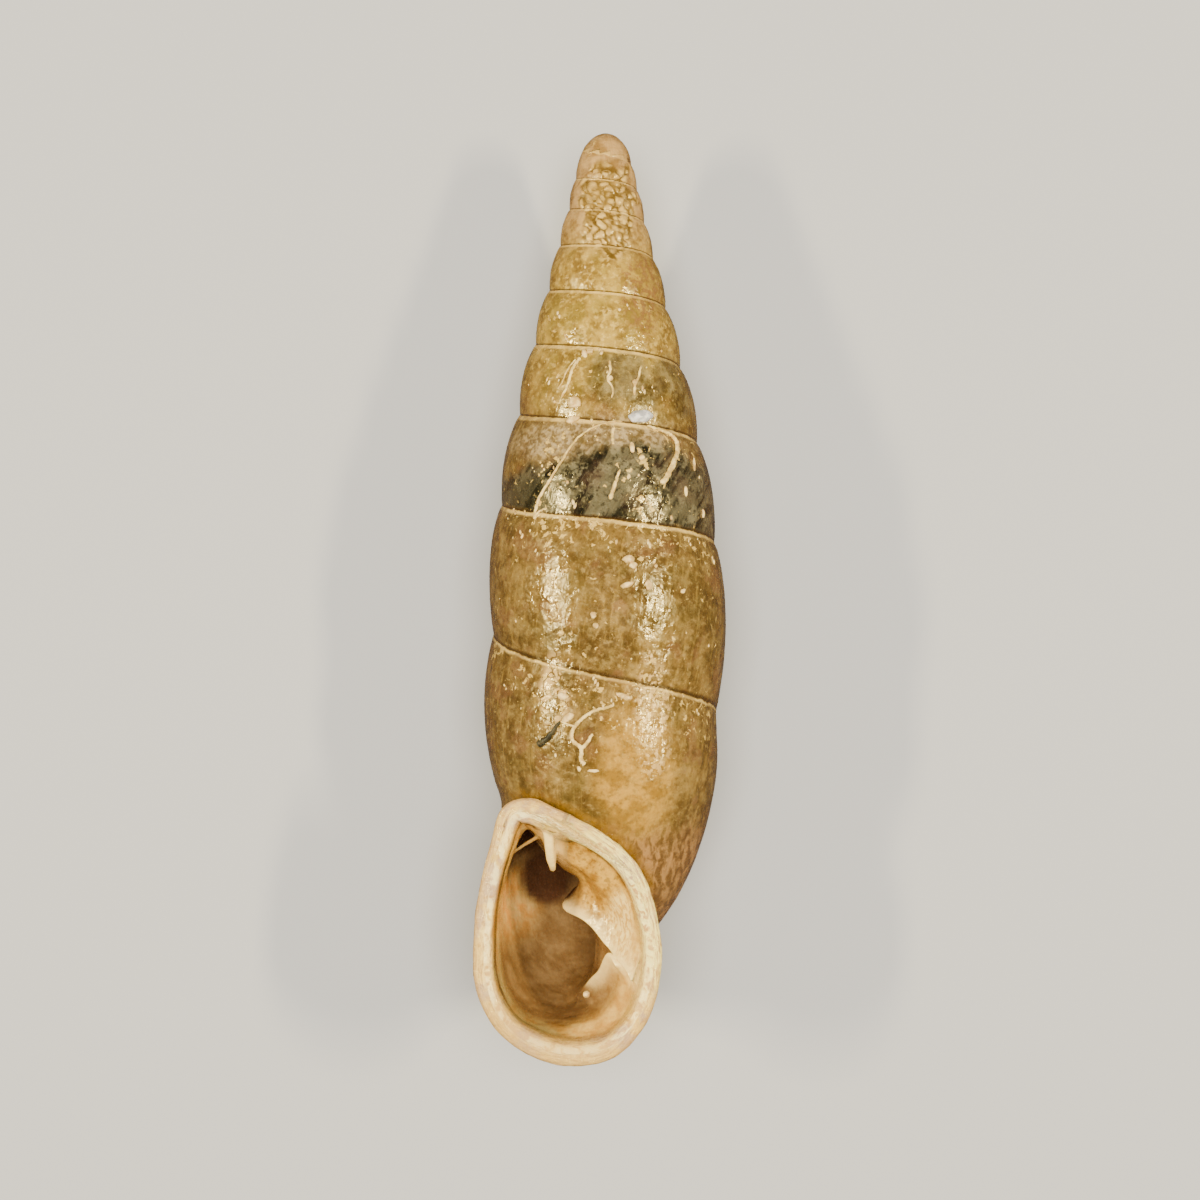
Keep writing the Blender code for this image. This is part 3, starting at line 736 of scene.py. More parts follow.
def rim_place(x, drop, out, from_edge, zone):
    """(place round the mouth, way in from the lip's edge)."""
    across, down = x - MOUTH_CENTRE[0], drop - MOUTH_CENTRE[1]
    around = (math.atan2(across, -down) / (2 * math.pi)) % 1.0
    return around, from_edge if zone == NECK else max(min(from_edge, LIP_REACH), LIP_REACH + LIP_TOP - out)


def mouth_masks(at, around, inwards):
    """The masks (lip, deep, dark, fold) and (glow, wall, 0, 0) of a point in the mouth."""
    x, drop, out = unplace(at)
    start = np.interp(around, FADE_AT, FADE_START)
    lip = 1 - smooth((inwards - start) / np.interp(around, FADE_AT, FADE_WIDTH))
    deep = smooth((1.35 - out) / 0.7)
    away = math.hypot(x - CAVITY[0], drop - CAVITY[1]) - CAVITY[2]
    # Painted shade: the unlit cavity, and the mouth above its top, is darkened deep inside.
    dark = max(1 - smooth((away + 0.10) / 0.20), smooth((12.95 - drop) / 0.3)) * smooth((0.6 - out) / 0.5)
    # Painted glow: the left wall is brightened as if light came through the shell.
    glow = smooth((-1.05 - x) / 0.45) * smooth((14.5 - drop) / 0.9) * smooth((drop - 12.9) / 0.4)
    wall = smooth((x + 0.85) / 0.25) * smooth((13.9 - drop) / 0.5) * smooth((out - 0.2) / 0.5)
    return (lip, deep, dark, porcelain(at)), (glow, wall, 0.0, 0.0)


def paint(piece):
    """Stores what the finish reads: two UV maps and two sets of masks.

    The map "growth" holds the turn and share. The map "rim" holds the place round the mouth, clockwise from the
    top, and the way in from the lip's edge in millimetres.
    """
    mesh = piece.data
    for name in ("growth", "rim"):
        mesh.uv_layers.new(name=name)
    for name in ("masks", "hues"):
        mesh.color_attributes.new(name=name, type="FLOAT_COLOR", domain="CORNER")
    while len(mesh.uv_layers) > 2:
        mesh.uv_layers.remove(next(layer for layer in mesh.uv_layers if layer.name not in ("growth", "rim")))
    growth, rim = mesh.uv_layers["growth"].data, mesh.uv_layers["rim"].data
    masks, hues = mesh.color_attributes["masks"].data, mesh.color_attributes["hues"].data
    places = [unplace(v.co) for v in mesh.vertices]
    from_edge = lip_distance([(x, drop) for x, drop, _ in places])
    young = [v for v in mesh.vertices if places[v.index][1] < 3.2]
    pebbles = {v.index: (pebbled(*places[v.index]), pebble(v.co)) for v in young}
    for face in mesh.polygons:
        turn, _ = whorl_place(*unplace(face.center))
        zone = face.material_index
        for loop in face.loop_indices:
            index = mesh.loops[loop].vertex_index
            x, drop, out = places[index]
            away = from_edge[index]
            here, share = growth_at(x, drop, out, turn, zone)
            growth[loop].uv = (here, share)
            if zone == OUTSIDE:
                contact = (1 - smooth((away - 0.03) / 0.12)) * smooth((out - 0.8) / 0.3)
                masks[loop].color = (0.0, 0.0, stain(x, drop, out, here, share), 0.0)
                hues[loop].color = (contact, 0.0, *pebbles.get(index, (0.0, 0.0)))
                continue
            around, inwards = rim_place(x, drop, out, away, zone)
            rim[loop].uv = (around, inwards)
            if zone == NECK:
                masks[loop].color = (smooth((out - 1.26) / 0.20), 0.0, 0.0, 0.0)
                hues[loop].color = (0.0, 0.0, 0.0, 0.0)
            else:
                masks[loop].color, hues[loop].color = mouth_masks(mesh.vertices[index].co, around, inwards)


def on_screen(red, green, blue):
    """A colour given as 0 to 255 on a screen."""
    return tuple(((v / 255 + 0.055) / 1.055) ** 2.4 for v in (red, green, blue)) + (1.0,)


class Tree:
    """Builds a material's nodes. A colour is a socket, or (red, green, blue) from 0 to 255 as on a screen."""

    def __init__(self, name):
        self.material = bpy.data.materials.new(name)
        self.material.use_nodes = True
        self.tree = self.material.node_tree
        self.shader = self.tree.nodes["Principled BSDF"]
        self.coords = self.tree.nodes.new("ShaderNodeTexCoord").outputs["Object"]

    def link(self, value, socket):
        if isinstance(value, bpy.types.NodeSocket):
            self.tree.links.new(value, socket)
        else:
            socket.default_value = value

    def add(self, kind, inputs):
        """A node whose inputs are linked or set."""
        node = self.tree.nodes.new("ShaderNode" + kind)
        for name, value in inputs.items():
            self.link(value, node.inputs[name])
        return node

    def noise(self, scale, detail=3.0, roughness=0.5, at=None, distortion=0.0):
        node = self.add("TexNoise", {
            "Vector": self.coords if at is None else at, "Scale": scale, "Detail": detail,
            "Roughness": roughness, "Distortion": distortion,
        })
        return node.outputs["Fac"]

    def stretched(self, detail, roughness, distortion, *axes):
        """A noise whose scale differs from axis to axis, given as (coordinate, scale) pairs."""
        scaled = [self.times(value, scale) for value, scale in axes]
        return self.noise(1.0, detail, roughness, self.join(scaled), distortion)

    def cracks(self, scale, distance):
        """The distance from the edges of cells that are pushed about by a noise."""
        pushed = self.add("TexNoise", {"Scale": scale, "Vector": self.coords})
        shift = self.tree.nodes.new("ShaderNodeVectorMath")
        shift.operation = "MULTIPLY_ADD"
        for value, socket in zip((pushed.outputs["Color"], (2 * distance,) * 3, self.coords), shift.inputs):
            self.link(value, socket)
        node = self.tree.nodes.new("ShaderNodeTexVoronoi")
        node.feature = "DISTANCE_TO_EDGE"
        self.link(shift.outputs["Vector"], node.inputs["Vector"])
        node.inputs["Scale"].default_value = scale
        node.inputs["Randomness"].default_value = 1.0
        return node.outputs["Distance"]

    def ramp(self, value, low, high, bottom=0.0, top=1.0):
        """From bottom to top, with level ends, as a value runs from low to high."""
        node = self.add("MapRange", {})
        node.interpolation_type = "SMOOTHSTEP"
        for name, number in (
            ("Value", value), ("From Min", low), ("From Max", high), ("To Min", bottom), ("To Max", top),
        ):
            self.link(number, node.inputs[name])
        return node.outputs["Result"]

    def span(self, value, start, full, wane, end):
        """1 where a value is between full and wane, and 0 before start and after end."""
        return self.times(self.ramp(value, start, full), self.ramp(value, end, wane))

    def math(self, operation, a, b=0.0):
        node = self.add("Math", {0: a, 1: b})
        node.operation = operation
        return node.outputs[0]

    def times(self, *values):
        product = values[0]
        for value in values[1:]:
            product = self.math("MULTIPLY", product, value)
        return product

    def mix(self, share, a, b):
        """Colour b over colour a."""
        node = self.tree.nodes.new("ShaderNodeMix")
        node.data_type = "RGBA"
        self.link(share, node.inputs["Factor"])
        for name, colour in (("A", a), ("B", b)):
            self.link(on_screen(*colour) if isinstance(colour, tuple) else colour, node.inputs[name])
        return node.outputs["Result"]

    def lay(self, base, colour, *shares):
        """A colour over the base, by the product of the shares."""
        return self.mix(self.times(*shares), base, colour)

    def blend(self, pattern, low, high, a, b):
        """Two colours, from a to b as a pattern runs from low to high."""
        return self.mix(self.ramp(pattern, low, high), a, b)

    def coats(self, base, *rows):
        """Colours over the base, each as (pattern, low, high, most, colour)."""
        for pattern, low, high, most, colour in rows:
            base = self.mix(self.ramp(pattern, low, high, 0.0, most), base, colour)
        return base

    def split(self, vector):
        return self.add("SeparateXYZ", {0: vector}).outputs

    def join(self, values):
        return self.add("CombineXYZ", dict(enumerate(values))).outputs[0]

    def uv(self, name):
        node = self.tree.nodes.new("ShaderNodeUVMap")
        node.uv_map = name
        return self.split(node.outputs["UV"])[:2]

    def attribute(self, name):
        """The four channels of a colour attribute."""
        node = self.tree.nodes.new("ShaderNodeAttribute")
        node.attribute_name = name
        return (*self.split(node.outputs["Vector"]), node.outputs["Alpha"])

    def spot(self, x, drop, wide, tall, ragged, scale, soft=0.4):
        """1 inside a ragged ellipse on the mouth's side of the shell, and 0 outside it."""
        across, along, height = self.split(self.coords)
        a = self.math("DIVIDE", self.math("SUBTRACT", across, x * MM), wide * MM)
        b = self.math("DIVIDE", self.math("SUBTRACT", along, (REST_DROP - drop) * MM), tall * MM)
        away = self.math("SQRT", self.math("ADD", self.times(a, a), self.times(b, b)))
        stray = self.times(self.math("SUBTRACT", self.noise(scale), 0.5), ragged)
        inside = self.ramp(self.math("ADD", away, stray), 1.0 - soft, 1.0 + soft, 1.0, 0.0)
        return self.times(inside, self.ramp(height, AXIS_HEIGHT * MM, (AXIS_HEIGHT + 0.5) * MM))

    def bump(self, *rows):
        """Bumps on top of each other, each as (height, strength, distance)."""
        normal = None
        for height, strength, distance in rows:
            node = self.add("Bump", {"Height": height, "Strength": strength, "Distance": distance})
            if normal is not None:
                self.link(normal, node.inputs["Normal"])
            normal = node.outputs["Normal"]
        return normal

    def finish(self, settings):
        """Links or sets the shader's own sockets and gives the material."""
        for name, value in settings.items():
            self.link(value, self.shader.inputs[name])
        return self.material

class ShellTree(Tree):
    """The shell's material, with the places and patterns that several of its colours share."""

    def __init__(self):
        super().__init__("horn and porcelain")
        self.turn, self.share = self.uv("growth")
        self.around, self.inwards = self.uv("rim")
        # "dark" holds the dark remains behind the wall on the outside and painted shade in the mouth's unlit
        # cavity; "glow" holds a painted glow in the mouth and, outside, where the lip meets the body whorl.
        self.lip, self.deep, self.dark, self.fold = self.attribute("masks")
        self.glow, self.wall, self.pebbly, self.pebble_top = self.attribute("hues")
        self.x, self.y, self.z = self.split(self.coords)
        self.oldest = self.ramp(self.y, 0.0068, 0.0082)
        # Growth lines run down the whorl and lean back a little.
        slanted = self.math("ADD", self.turn, self.times(self.share, 0.035))
        self.lines = self.stretched(4.0, 0.6, 0.3, (slanted, 40.0), (self.share, 1.3))
        self.fine = self.stretched(3.0, 0.6, 0.4, (slanted, 170.0), (self.share, 5.0))
        # The mouth is streaked along its rim.
        self.drawn = self.stretched(4.0, 0.62, 0.5, (self.around, 46.0), (self.inwards, 34.0))
        self.clouds = self.noise(650.0, 4.0, 0.55)
        self.hue = self.noise(1700.0, 3.0, 0.6)
        self.mottle = self.noise(3200.0, 5.0, 0.66)
        self.flecks = self.noise(11000.0, 3.0, 0.6)


def fresh_horn(t):
    """Olive brown horn, mottled and flecked, with its growth lines."""
    horn = t.coats(
        t.blend(t.clouds, 0.36, 0.66, (84, 62, 27), (120, 92, 42)),
        (t.mottle, 0.46, 0.68, 0.60, (152, 124, 66)),
        (t.mottle, 0.50, 0.36, 0.52, (58, 41, 14)),
        (t.lines, 0.46, 0.70, 0.40, (70, 50, 14)),
        (t.fine, 0.52, 0.72, 0.35, (176, 142, 66)),
        (t.flecks, 0.54, 0.66, 0.35, (170, 142, 80)),
        (t.hue, 0.52, 0.64, 0.22, (88, 76, 30)),
        (t.hue, 0.46, 0.36, 0.40, (120, 82, 50)),
        (t.flecks, 0.44, 0.34, 0.40, (58, 42, 12)),
    )
    # Right of the middle the last whorl is thin and amber, its lighter colour partly its own and partly a
    # painted glow of light through the wall; lower down it is brown and finely wrinkled.
    wrinkles = t.stretched(4.0, 0.65, 0.5, (t.x, 9000.0), (t.y, 3200.0), (t.z, 3200.0))
    browned = t.blend(wrinkles, 0.42, 0.60, (94, 64, 32), (168, 124, 72))
    horn = t.lay(horn, browned, t.ramp(t.y, -0.0022, -0.0032), t.ramp(t.x, -0.0003, 0.0004), 0.8)
    amber_and_glow = t.blend(t.mottle, 0.40, 0.62, (140, 102, 32), (180, 136, 54))
    thin = t.spot(0.50, 11.05, 0.60, 1.15, 0.9, 1300.0, 0.45)
    return t.lay(horn, amber_and_glow, thin, t.ramp(t.flecks, 0.36, 0.50, 0.6, 0.95))


def aged(t, horn):
    """The horn with paler young whorls, and a pebbly crust on the middle of the oldest ones."""
    young = t.ramp(t.y, 0.0036, 0.0060)
    straw = t.blend(t.mottle, 0.38, 0.62, (122, 95, 34), (184, 152, 64))
    straw = t.coats(straw, (t.flecks, 0.52, 0.64, 0.6, (224, 190, 96)))
    horn = t.lay(horn, straw, young, 0.85)
    rubbed = t.spot(0.62, 2.95, 0.34, 0.75, 0.6, 3000.0, 0.3)
    horn = t.lay(horn, (122, 82, 46), rubbed, t.ramp(t.flecks, 0.46, 0.54), 0.8)
    horn = t.lay(horn, (132, 112, 36), young, t.ramp(t.hue, 0.52, 0.62, 0.0, 0.45))
    chalk = t.blend(t.mottle, 0.38, 0.62, (146, 112, 58), (196, 158, 98))
    horn = t.lay(horn, chalk, t.oldest)
    crusted = t.blend(t.pebble_top, 0.10, 0.75, (92, 70, 22), (212, 176, 98))
    crusted = t.coats(crusted, (t.mottle, 0.44, 0.62, 0.6, (148, 118, 52)))
    return t.lay(horn, crusted, t.ramp(t.pebbly, 0.05, 0.85))


def stained(t, horn):
    """The horn with the remains behind the wall, in leaning streaks, and an ashen stretch above them."""
    ash = t.blend(t.flecks, 0.42, 0.58, (122, 102, 66), (184, 160, 116))
    ashen = t.spot(-0.20, 5.50, 1.50, 0.36, 0.8, 1500.0, 0.4)
    horn = t.lay(horn, ash, ashen, t.ramp(t.mottle, 0.38, 0.56, 0.25, 0.75))
    leaning = t.math("ADD", t.times(t.x, 3400.0), t.times(t.y, -2100.0))
    streaks = t.stretched(4.0, 0.6, 0.6, (leaning, 1.0), (t.y, 700.0), (t.z, 700.0))
    remains = t.coats(
        t.blend(streaks, 0.40, 0.58, (18, 16, 9), (88, 80, 56)),
        (t.mottle, 0.50, 0.62, 0.6, (128, 118, 86)),
        (t.flecks, 0.48, 0.36, 0.7, (26, 22, 12)),
        (t.clouds, 0.50, 0.62, 0.4, (78, 52, 40)),
    )
    corner = t.spot(-1.50, 6.50, 0.50, 0.40, 0.6, 2000.0, 0.4)
    remains = t.lay(remains, (30, 27, 12), corner, 0.6)
    return t.lay(horn, remains, t.dark)


def crumb_and_glint_cover(t):
    """Where pale crumb specks lie: thickly below the suture and in two columns down the front, where the
    lights' highlights fall, so that the specks there are partly real grit and partly painted highlight.
    """
    # The two columns are where the lights' highlights fall: specks there are partly painted highlight.
    column = t.math("ABSOLUTE", t.math("SUBTRACT", t.math("ABSOLUTE", t.math("ADD", t.x, 0.00005)), 0.00082))
    column = t.times(t.ramp(column, 0.00012, 0.00042, 1.0, 0.0), t.ramp(t.z, AXIS_HEIGHT * MM, 0.0030))
    crowd = t.math("MAXIMUM", t.ramp(t.share, 0.05, 0.34, 0.8, 0.0), t.times(column, 0.9))
    crowd = t.times(crowd, t.ramp(t.noise(1400.0, 3.0, 0.6), 0.42, 0.58), t.ramp(t.y, 0.0034, 0.0052, 1.0, 0.3))
    least = t.math("SUBTRACT", 0.66, t.times(crowd, 0.13))
    crumbs_and_glints = t.ramp(t.math("SUBTRACT", t.noise(8200.0, 3.0, 0.6, None, 0.5), least), 0.0, 0.03)
    return t.times(crumbs_and_glints, t.ramp(t.y, -0.0020, -0.0012))


def film_and_glint_cover(t):
    """Where flakes of a thin whitish layer lie on the body: large pieces at the left and small ones at the
    right, both in the columns where the lights' highlights fall, so that they are partly real flakes and partly
    painted highlight.
    """
    # Both spots sit in the highlight columns: the flakes there are partly painted highlight.
    left = t.spot(-0.86, 9.72, 0.26, 0.62, 0.8, 2600.0, 0.25)
    pieces = t.ramp(t.cracks(5200.0, 0.00010), 0.03, 0.10)
    large = t.times(pieces, t.ramp(t.noise(2600.0, 2.0), 0.44, 0.50), left)
    right = t.spot(0.80, 10.15, 0.30, 0.95, 0.9, 2200.0, 0.35)
    small = t.times(t.ramp(t.noise(9800.0, 3.0, 0.55), 0.50, 0.56), right)
    return t.math("MAXIMUM", large, small)


def suture_lines(t):
    """The cream line at the top of each whorl, and the brown one in the suture above it."""
    uneven = t.math("ADD", t.share, t.times(t.math("SUBTRACT", t.mottle, 0.5), 0.035))
    wide = t.ramp(t.y, 0.0010, 0.0055, 0.024, 0.060)
    tapered = t.ramp(t.math("DIVIDE", uneven, wide), 0.5, 1.1, 1.0, 0.0)
    thread = t.times(t.ramp(uneven, 0.000, 0.008), tapered, t.ramp(t.hue, 0.42, 0.56, 0.45, 1.0))
    seam = t.math("MAXIMUM", t.ramp(uneven, 0.965, 0.992), t.ramp(uneven, -0.004, 0.006, 1.0, 0.0))
    return thread, seam


def throat_colour(t):
    """Golden by the wall of the whorl above, with a painted glow at the left, brown deeper, and darkened by
    painted shade at its unlit inner end.
    """
    tan = t.blend(t.mottle, 0.38, 0.62, (192, 140, 58), (226, 182, 92))
    brown = t.blend(t.mottle, 0.35, 0.65, (118, 86, 46), (144, 110, 64))
    brown = t.coats(brown, (t.clouds, 0.50, 0.62, 0.35, (92, 66, 38)))
    # Painted glow on the left wall.
    brown = t.lay(brown, t.blend(t.mottle, 0.40, 0.60, (250, 174, 76), (255, 202, 110)), t.glow, 0.9)
    # Painted shade in the unlit cavity.
    brown = t.lay(brown, t.blend(t.clouds, 0.42, 0.58, (70, 44, 26), (92, 60, 38)), t.dark)
    golden = t.blend(t.mottle, 0.36, 0.62, (148, 102, 24), (210, 162, 62))
    golden = t.coats(golden, (t.flecks, 0.48, 0.38, 0.6, (112, 76, 14)))
    throat = t.lay(t.lay(tan, brown, t.deep), golden, t.wall, 0.9)
    ochre = t.times(t.span(t.around, 0.62, 0.68, 0.84, 0.90), t.ramp(t.inwards, 0.60, 0.44))
    throat = t.lay(throat, (150, 92, 14), ochre, 0.8)
    green = t.times(t.span(t.around, 0.46, 0.55, 0.66, 0.76), t.ramp(t.inwards, 1.50, 0.55))
    return t.lay(throat, (142, 136, 88), green, t.ramp(t.mottle, 0.36, 0.58, 0.3, 0.85))


def lip_colour(t):
    """Cream porcelain, streaked with grey, lilac and gold, with a painted highlight along its crest, painted
    light at its upper right, and painted shade at its outer edge and its foot.
    """
    cream = t.coats(
        t.blend(t.clouds, 0.38, 0.62, (226, 184, 92), (242, 208, 124)),
        (t.drawn, 0.47, 0.62, 0.85, (190, 148, 92)),
        (t.noise(1500.0, 4.0, 0.6), 0.48, 0.60, 0.7, (176, 146, 122)),
        (t.noise(2100.0, 4.0, 0.6, None, 0.4), 0.54, 0.66, 0.7, (218, 180, 78)),
        (t.flecks, 0.46, 0.36, 0.5, (184, 138, 68)),
    )
    # Painted highlight: a brighter band along the lip's rounded crest.
    crest = t.span(t.inwards, 0.14, 0.24, 0.30, 0.38)
    cream = t.lay(cream, (255, 236, 168), crest, t.ramp(t.drawn, 0.56, 0.44), 0.9)
    # Painted shade: the lip's outer edge is darkened.
    cream = t.lay(cream, (188, 148, 88), t.ramp(t.inwards, 0.11, 0.0), 0.75)
    # Painted light: the upper right of the lip is brightened.
    upper_right = t.span(t.around, 0.0, 0.06, 0.28, 0.38)
    cream = t.lay(cream, (255, 236, 140), upper_right, t.ramp(t.drawn, 0.60, 0.46), 0.7)
    # Painted shade: the foot of the lip is darkened.
    foot = t.span(t.around, 0.40, 0.46, 0.60, 0.66)
    return t.lay(cream, (190, 154, 92), foot, 0.45)


def shell_finish():
    """Glossy olive brown horn, cream lip, brown throat, and the dark remains behind the wall, with painted
    light and shade: darker sides, highlights and glints on the lip, callus and front, a glow and an unlit
    cavity in the mouth.
    """
    t = ShellTree()
    crumbs_and_glints, film_and_glints = crumb_and_glint_cover(t), film_and_glint_cover(t)
    thread, seam = suture_lines(t)
    colour = stained(t, aged(t, fresh_horn(t)))
    colour = t.lay(colour, (216, 180, 98), crumbs_and_glints, 0.8)
    colour = t.lay(colour, (222, 182, 112), film_and_glints, 0.72)
    colour = t.lay(colour, (226, 190, 108), thread, 0.80)
    colour = t.lay(colour, (48, 28, 5), seam, 0.85)
    # Outside the mouth, "glow" marks where the lip meets the body whorl.
    colour = t.lay(colour, (118, 82, 8), t.glow, t.ramp(t.flecks, 0.40, 0.56, 0.4, 0.9))
    # Painted shade: the sides and the back, turned from the lights, are darkened to a deeper brown.
    colour = t.lay(colour, (112, 72, 26), t.ramp(t.z, 0.0036, 0.0016, 0.0, 0.45))
    inside = t.ramp(t.math("MAXIMUM", t.deep, t.lip), 0.0, 0.02)
    colour = t.lay(colour, throat_colour(t), inside)
    colour = t.lay(colour, lip_colour(t), t.lip)
    colour = t.lay(colour, (255, 222, 140), t.fold, 0.9)
    # The callus is yellow, streaked with brighter bands that are painted glints.
    callus = t.spot(0.26, 13.72, 0.22, 0.55, 0.7, 2400.0, 0.4)
    callus_and_glints = t.blend(t.drawn, 0.44, 0.54, (212, 164, 78), (255, 222, 132))
    colour = t.lay(colour, callus_and_glints, callus, 0.75, inside)

    glossy = t.ramp(t.noise(6200.0, 4.0, 0.6), 0.46, 0.54, 0.12, 0.31)
    raised = t.math("ADD", thread, t.math("ADD", t.times(crumbs_and_glints, 0.6), t.times(film_and_glints, 0.7)))
    normal = t.bump(
        (t.noise(4600.0, 2.0, 0.5), 1.0, 0.000030),
        (t.math("ADD", t.lines, t.times(t.fine, 0.6)), 0.6, 0.000014),
        (raised, 1.0, 0.000012),
        (t.times(t.drawn, t.lip), 1.0, 0.000030),
        (t.noise(20000.0, 3.0, 0.6), 0.6, 0.000006),
    )
    duller = t.math("ADD", t.times(t.oldest, 0.08), t.times(t.lip, 0.06))
    return t.finish({
        "Base Color": colour,
        "Roughness": t.math("ADD", glossy, duller),
        "IOR": 1.53,
        "Specular IOR Level": 0.85,
        "Specular Tint": (1.0, 0.86, 0.44, 1.0),
        "Subsurface Weight": 0.10,
        "Subsurface Radius": (1.0, 0.55, 0.25),
        "Subsurface Scale": 0.00015,
        "Coat Weight": 0.10,
        "Coat Roughness": 0.12,
        "Normal": normal,
        "Coat Normal": normal,
    })


def plain_finish(name, light, shade, roughness, scale=9000.0):
    """A finish for the small things stuck to the shell."""
    t = Tree(name)
    return t.finish({
        "Base Color": t.blend(t.noise(scale), 0.38, 0.62, shade, light),
        "Roughness": roughness,
        "Subsurface Weight": 0.1,
        "Subsurface Scale": 0.00005,
        "Normal": t.bump((t.noise(scale * 2), 0.4, 0.000006)),
    })


def finished(piece, material):
    """Scales a piece that was shaped in millimetres, gives it its finish and lets it ride on the shell."""
    piece.scale = (MM, MM, MM)
    select_only(piece)
    bpy.ops.object.transform_apply(location=True, rotation=True, scale=True)
    piece.data.materials.clear()
    piece.data.materials.append(material)
    for face in piece.data.polygons:
        face.material_index = 0
    bpy.ops.object.shade_smooth()
    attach(piece, "root")
    return piece


def build_shell():
    shell = coil()
    combine(shell, neck(), "UNION", "EXACT")
    combine(shell, hollow(), "DIFFERENCE", "MANIFOLD")
    combine(shell, blade("superior", SUPERIOR_FOLD), "UNION", "MANIFOLD")
    combine(shell, leaning_fold("inferior", INFERIOR_FOLD), "UNION", "MANIFOLD")
    combine(shell, blade("under", UNDER_FOLD), "UNION", "MANIFOLD")
    combine(shell, ridge("cross", CROSS_RIDGE), "UNION", "MANIFOLD")
    soften(shell)
    relief(shell)
    # The back is flat where it rests on the floor.
    for v in shell.data.vertices:
        v.co.z = max(v.co.z, 0.0)
    paint(shell)
    return shell


# Fibres on the shell, as (x, drop) points and a thickness at the start and at the end.
FIBRES = (
    (((-1.19, 6.84), (-1.13, 6.55), (-1.00, 6.30), (-0.78, 5.95), (-0.54, 5.58), (-0.34, 5.39), (-0.04, 5.24),
      (0.28, 5.18)), 0.030, 0.011),
    (((-1.19, 6.80), (-1.10, 6.70), (-0.98, 6.66)), 0.018, 0.014),
    (((0.70, 5.27), (0.95, 5.34), (1.10, 5.41), (1.19, 5.51), (1.20, 5.71), (1.08, 6.02), (0.94, 6.25)),
     0.022, 0.052),
    (((-0.42, 4.10), (-0.55, 4.29), (-0.62, 4.53), (-0.74, 4.78)), 0.028, 0.020),
    (((-0.50, 4.12), (-0.66, 4.34), (-0.70, 4.46), (-0.80, 4.62)), 0.016, 0.014),
    (((0.07, 4.16), (0.08, 4.35), (0.04, 4.48), (0.12, 4.62), (0.11, 4.80)), 0.024, 0.014),
    (((0.60, 4.24), (0.55, 4.45), (0.50, 4.56), (0.49, 4.74)), 0.018, 0.026),
    (((0.24, 6.02), (0.20, 6.15), (0.14, 6.33), (0.08, 6.52)), 0.018, 0.038),
    (((0.14, 5.32), (0.12, 5.42), (0.13, 5.60)), 0.030, 0.022),
    (((0.12, 9.95), (0.02, 9.99), (-0.17, 10.04), (-0.30, 10.11), (-0.44, 10.23), (-0.55, 10.40),
      (-0.52, 10.56), (-0.40, 10.66), (-0.40, 10.83), (-0.34, 10.93)), 0.026, 0.038),
    (((-0.41, 10.67), (-0.29, 10.56), (-0.22, 10.42)), 0.036, 0.022),
    (((-0.50, 10.30), (-0.62, 10.27), (-0.74, 10.22)), 0.022, 0.016),
)
# Grains, as x, drop, half sizes along x and drop, height, and how far they are turned.
PALE_GRAINS = (
    (-0.51, 4.86, 0.13, 0.10, 0.06, 0.2), (-0.54, 5.16, 0.12, 0.07, 0.05, 0.1),
    (0.38, 7.52, 0.10, 0.07, 0.05, 0.3), (0.46, 7.62, 0.07, 0.06, 0.05, 0.0),
    (0.30, 9.80, 0.14, 0.05, 0.04, -0.3),
    (0.45, 5.64, 0.045, 0.10, 0.03, 0.1), (1.36, 6.36, 0.035, 0.10, 0.03, 0.1),
    (1.67, 6.72, 0.035, 0.08, 0.03, 0.0), (1.51, 5.88, 0.025, 0.13, 0.03, 0.05),
    (0.61, 5.81, 0.055, 0.055, 0.04, 0.0),
    (0.09, 4.46, 0.045, 0.05, 0.03, 0.0), (0.50, 4.52, 0.05, 0.05, 0.04, 0.0),
    (-0.20, 11.04, 0.10, 0.03, 0.025, 0.0), (-0.62, 10.15, 0.12, 0.07, 0.03, 0.5),
    (-0.70, 9.80, 0.10, 0.06, 0.03, -0.3), (0.72, 7.95, 0.07, 0.09, 0.04, 0.2),
    (0.36, 7.95, 0.12, 0.05, 0.03, 0.3), (-0.20, 8.45, 0.05, 0.06, 0.03, 0.0),
    (-0.16, 8.62, 0.05, 0.05, 0.03, 0.0), (1.30, 8.05, 0.06, 0.04, 0.03, 0.5),
    (-0.35, 4.02, 0.05, 0.09, 0.03, 0.2), (-0.26, 3.98, 0.06, 0.06, 0.03, 0.0),
)
# The clear sand grain, given as the pale ones are.
QUARTZ = (0.58, 5.10, 0.225, 0.105, 0.10, 0.12)
# The dark sliver's course, as (x, drop) points.
SLIVER = ((-1.10, 10.62), (-1.02, 10.56), (-0.92, 10.47), (-0.80, 10.30), (-0.74, 10.24))
# The round grain in the mouth, as x, drop and radius.
MOUTH_GRAIN = (-0.31, 15.02, 0.065)
# How many steps lie between two points of a fibre, and how many places are tried for a flake of dust.
FIBRE_STEPS = 10
DUST_TRIES = 1500
# The corner and the size, in x and drop, of the area that the flakes fall on.
DUST_CORNER = (-2.1, 2.4)
DUST_SIZE = (4.2, 10.0)


def looking_down(surface, x, drop):
    """The point and normal of the shell's outside under x and drop, or None twice beside it."""
    hit, normal, _, _ = surface.ray_cast(Vector((x, REST_DROP - drop, 10.0)), Vector((0, 0, -1)))
    return hit, normal


def lies_on(surface, x, drop, lift):
    """The point on the shell under x and drop, lifted along its slope, and the slope's normal."""
    hit, normal = looking_down(surface, x, drop)
    return hit + normal * lift, normal


